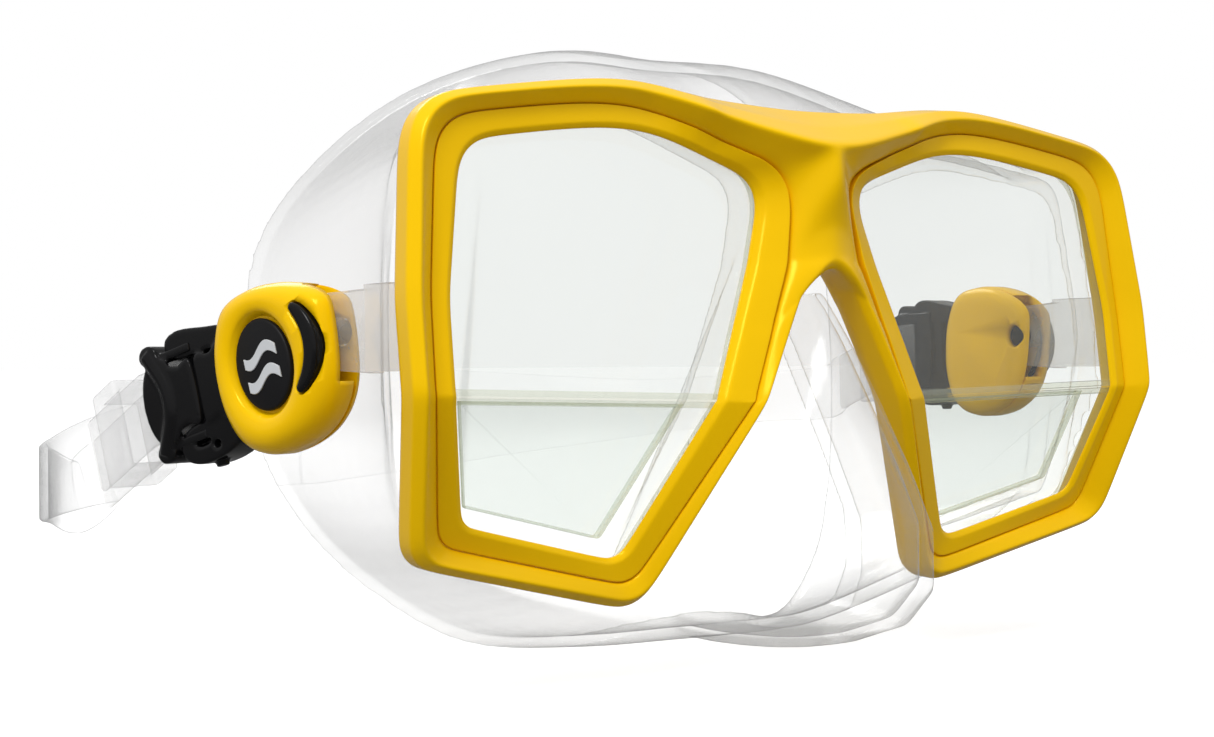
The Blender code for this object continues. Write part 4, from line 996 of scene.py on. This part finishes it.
def strap_sections(route, half_width):
    """Rounded strap sections (x, y, z) along a route of (x, y, out_x, out_y)."""
    corners = strap_corners(half_width)
    sections = []
    for x, y, out_x, out_y in route:
        ring = []
        for side_step, height in corners:
            ring.append(Vector((x + out_x * side_step, y + out_y * side_step, height)))
        sections.append(ring)
    return sections


def make_strap_end(side, shift, mirror):
    centre = ROLLER_Y - LOOP_PIVOT_Y
    middle = ROLLER_RADIUS + 0.4 + STRAP_THICK / 2
    bend = SAG_START_Y - LOOP_PIVOT_Y
    tail = TAIL_END_Y - LOOP_PIVOT_Y
    end = STRAP_END_Y + BAND_GAP / 2 - LOOP_PIVOT_Y
    route = [(-middle, end - (end - bend) * k / 10, -1, 0) for k in range(11)]
    for k in range(17):
        turn = math.pi * k / 16
        out = (-math.cos(turn), -math.sin(turn))
        route.append((middle * out[0], centre + middle * out[1], *out))
    route += [(middle, bend + (tail - bend) * k / 8, 1, 0) for k in range(9)]
    strap = sag(skin(strap_sections(route, STRAP_HALF_WIDTH)))
    strap_piece = to_object("strap_tail_" + side, strap, "strap", mirror, shift, 50)
    hole = (ROLLER_RADIUS + 0.4 + STRAP_THICK + 0.3, STRAP_HALF_WIDTH + 0.3)
    low, high = 45.0 - LOOP_PIVOT_Y, 51.0 - LOOP_PIVOT_Y
    shell = box_loop((-hole[0] - 1.5, -hole[1] - 1.5), (hole[0] + 1.5, hole[1] + 1.5))
    keeper = to_object("keeper_ring_" + side, sag(slab(shell, low, high, "y")), "strap", mirror, shift)
    gap = sag(slab(box_loop((-hole[0], -hole[1]), hole), low - 1, high + 1, "y"))
    cut(keeper, gap, mirror=mirror, local=shift)
    round_edges(keeper, 0.6, 3)
    bake_down(keeper)
    for piece, node in ((strap_piece, "strap_end_"), (keeper, "strap_keeper_")):
        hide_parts(node + side)
        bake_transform(piece)


def strap_start(side):
    """Where the band leaves the end in the buckle, and its direction there."""
    sign = -1 if side == "left" else 1
    splay = Matrix.Rotation(math.radians(-sign * SPLAY[side]), 3, "Z")
    turn = splay @ Matrix.Rotation(math.radians(-DROOP[side]), 3, "X")
    layer = -sign * (ROLLER_RADIUS + 0.4 + STRAP_THICK / 2)
    end = STRAP_END_Y + BAND_GAP / 2
    local = Vector((layer, end, CLIP_Z - STRAP_SAG * (end - SAG_START_Y)))
    x, y, z = PIVOT[side]
    return Vector((sign * x, y, z)) + turn @ local, turn @ Vector((0, 1, -STRAP_SAG)).normalized()


def make_strap_band():
    left, left_way = strap_start("left")
    right, right_way = strap_start("right")
    route = [left, left + left_way * 8] + [Vector(p) for p in BAND_ROUTE] + [right + right_way * 8, right]
    path = smooth_path(route, 8)
    lengths = np.concatenate([[0.0], np.cumsum([(b - a).length for a, b in zip(path, path[1:])])])
    shares = np.linspace(0, lengths[-1], len(BAND_WIDTHS))
    rows = []
    for i, p in enumerate(path):
        ends = {0: left_way, len(path) - 1: -right_way}
        along = ends.get(i) or (path[i + 1] - path[i - 1]).normalized()
        up = (Vector((0, 0, 1)) - along * along.z).normalized()
        across = along.cross(up).normalized()
        tall = float(np.interp(lengths[i], shares, BAND_WIDTHS)) / 2
        rows.append([p + across * a + up * b for a, b in strap_corners(tall)])
    middle = len(rows) // 2
    left_half = to_object("band_left", skin(rows[:middle + 1]), "band", smooth=50)
    right_half = to_object("band_right", skin(rows[middle:]), "band", smooth=50)
    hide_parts("strap_band")
    for piece, side, index in ((left_half, "left", 0), (right_half, "right", -1)):
        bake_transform(piece)


# ---------------------------------------------------------------- stage

def floor_with_painted_glow():
    """Painted light: seen directly it is pale and shines, which washes out the shadows cast on it; to other
    light it throws back less, a dark grey that paints shade on the mask's undersides.
    """
    made, tree, shader = new_material("floor_with_painted_glow")
    wash = noise(tree, 1.5)
    path = add_node(tree, "ShaderNodeLightPath")
    base = shader.inputs["Base Color"]
    shown = blend_colours(tree, wash.outputs["Fac"], *FLOOR_SHOWN, base)
    # painted shade: other rays meet a dark grey floor, while the camera sees the pale one
    pick = blend_colours(tree, path.outputs["Is Camera Ray"], FLOOR_SHADING_BOUNCE, FLOOR_SHADING_BOUNCE, base)
    tree.links.new(shown.outputs["Result"], pick.inputs["B"])
    shader.inputs["Roughness"].default_value = 0.7
    # painted light: emission seen by the camera only, which lightens the floor's shadows
    shader.inputs["Emission Color"].default_value = (1.0, 1.0, 1.0, 1.0)
    painted_glow = add_node(tree, "ShaderNodeMath", {1: FLOOR_PAINTED_GLOW}, operation="MULTIPLY")
    tree.links.new(path.outputs["Is Camera Ray"], painted_glow.inputs[0])
    tree.links.new(painted_glow.outputs["Value"], shader.inputs["Emission Strength"])
    return made


def studio_world():
    """A white backdrop, lit from above and the wearer's right like a soft-box studio."""
    world = bpy.data.worlds.new("studio")
    world.use_nodes = True
    tree = world.node_tree
    backdrop = tree.nodes["Background"]
    backdrop.inputs["Color"].default_value = (1.0, 1.0, 1.0, 1.0)
    backdrop.inputs["Strength"].default_value = 1.0
    place = add_node(tree, "ShaderNodeTexCoord")
    brightest = Vector(LIGHT_SIDE).normalized()
    aim = add_node(tree, "ShaderNodeVectorMath", {1: brightest}, operation="DOT_PRODUCT")
    tree.links.new(place.outputs["Generated"], aim.inputs[0])
    low, high = LIGHT_LEVELS
    limits = {"From Min": -1.0, "From Max": 1.0, "To Min": low, "To Max": high}
    level = add_node(tree, "ShaderNodeMapRange", limits)
    tree.links.new(aim.outputs["Value"], level.inputs["Value"])
    lamp = add_node(tree, "ShaderNodeBackground")
    tree.links.new(level.outputs["Result"], lamp.inputs["Strength"])
    path = add_node(tree, "ShaderNodeLightPath")
    pick = mix_shaders(tree, path.outputs["Is Camera Ray"], lamp.outputs["Background"],
                       backdrop.outputs["Background"])
    tree.links.new(pick, tree.nodes["World Output"].inputs["Surface"])
    return world


def make_stage():
    bpy.ops.mesh.primitive_plane_add(size=200.0, location=(0, 0, -0.0005))
    floor = bpy.context.object
    floor.name = "floor"
    floor.data.materials.append(floor_with_painted_glow())
    bpy.context.scene.world = studio_world()
    key = bpy.data.lights.new("key", "AREA")
    key.energy = KEY_STRENGTH
    key.size = KEY_SIZE
    rim = bpy.data.lights.new("rim", "AREA")
    rim.energy = 3.0
    rim.size = 0.5
    for data, place in ((key, KEY_PLACE), (rim, RIM_PLACE)):
        lamp = bpy.data.objects.new(data.name, data)
        lamp.location = place
        lamp.rotation_euler = (Vector((0, 0, 0.05)) - Vector(place)).to_track_quat("-Z", "Y").to_euler()
        bpy.context.scene.collection.objects.link(lamp)


def make_camera():
    azimuth, elevation, roll = (math.radians(a) for a in CAMERA_TURN)
    level = math.cos(elevation)
    back = Vector((math.sin(azimuth) * level, -math.cos(azimuth) * level, math.sin(elevation)))
    right = Vector((math.cos(azimuth), math.sin(azimuth), 0))
    up = back.cross(right)
    rolled_right = math.cos(roll) * right + math.sin(roll) * up
    rolled_up = back.cross(rolled_right)
    turn = Matrix((rolled_right, rolled_up, back)).transposed()
    data = bpy.data.cameras.new("camera")
    data.lens = CAMERA_LENS
    data.sensor_width = 36.0
    camera = bpy.data.objects.new("camera", data)
    camera.matrix_world = Matrix.Translation((Vector(CAMERA_PLACE) - ORIGIN) * MM) @ turn.to_4x4()
    data.clip_start = 0.01
    bpy.context.scene.collection.objects.link(camera)
    bpy.context.scene.camera = camera


def set_view():
    """Plain colour transform, and enough see-through layers for a clear mask."""
    scene = bpy.context.scene
    scene.view_settings.view_transform = "Standard"
    scene.cycles.transparent_max_bounces = 48


MATERIALS = make_materials()
make_frame()
make_skirt()
for SIDE in ("left", "right"):
    make_bezel(SIDE)
    make_windows(SIDE)
    make_arm(SIDE)
    make_buckle(SIDE)
    make_clip(SIDE)
make_strap_band()
make_stage()
make_camera()
set_view()
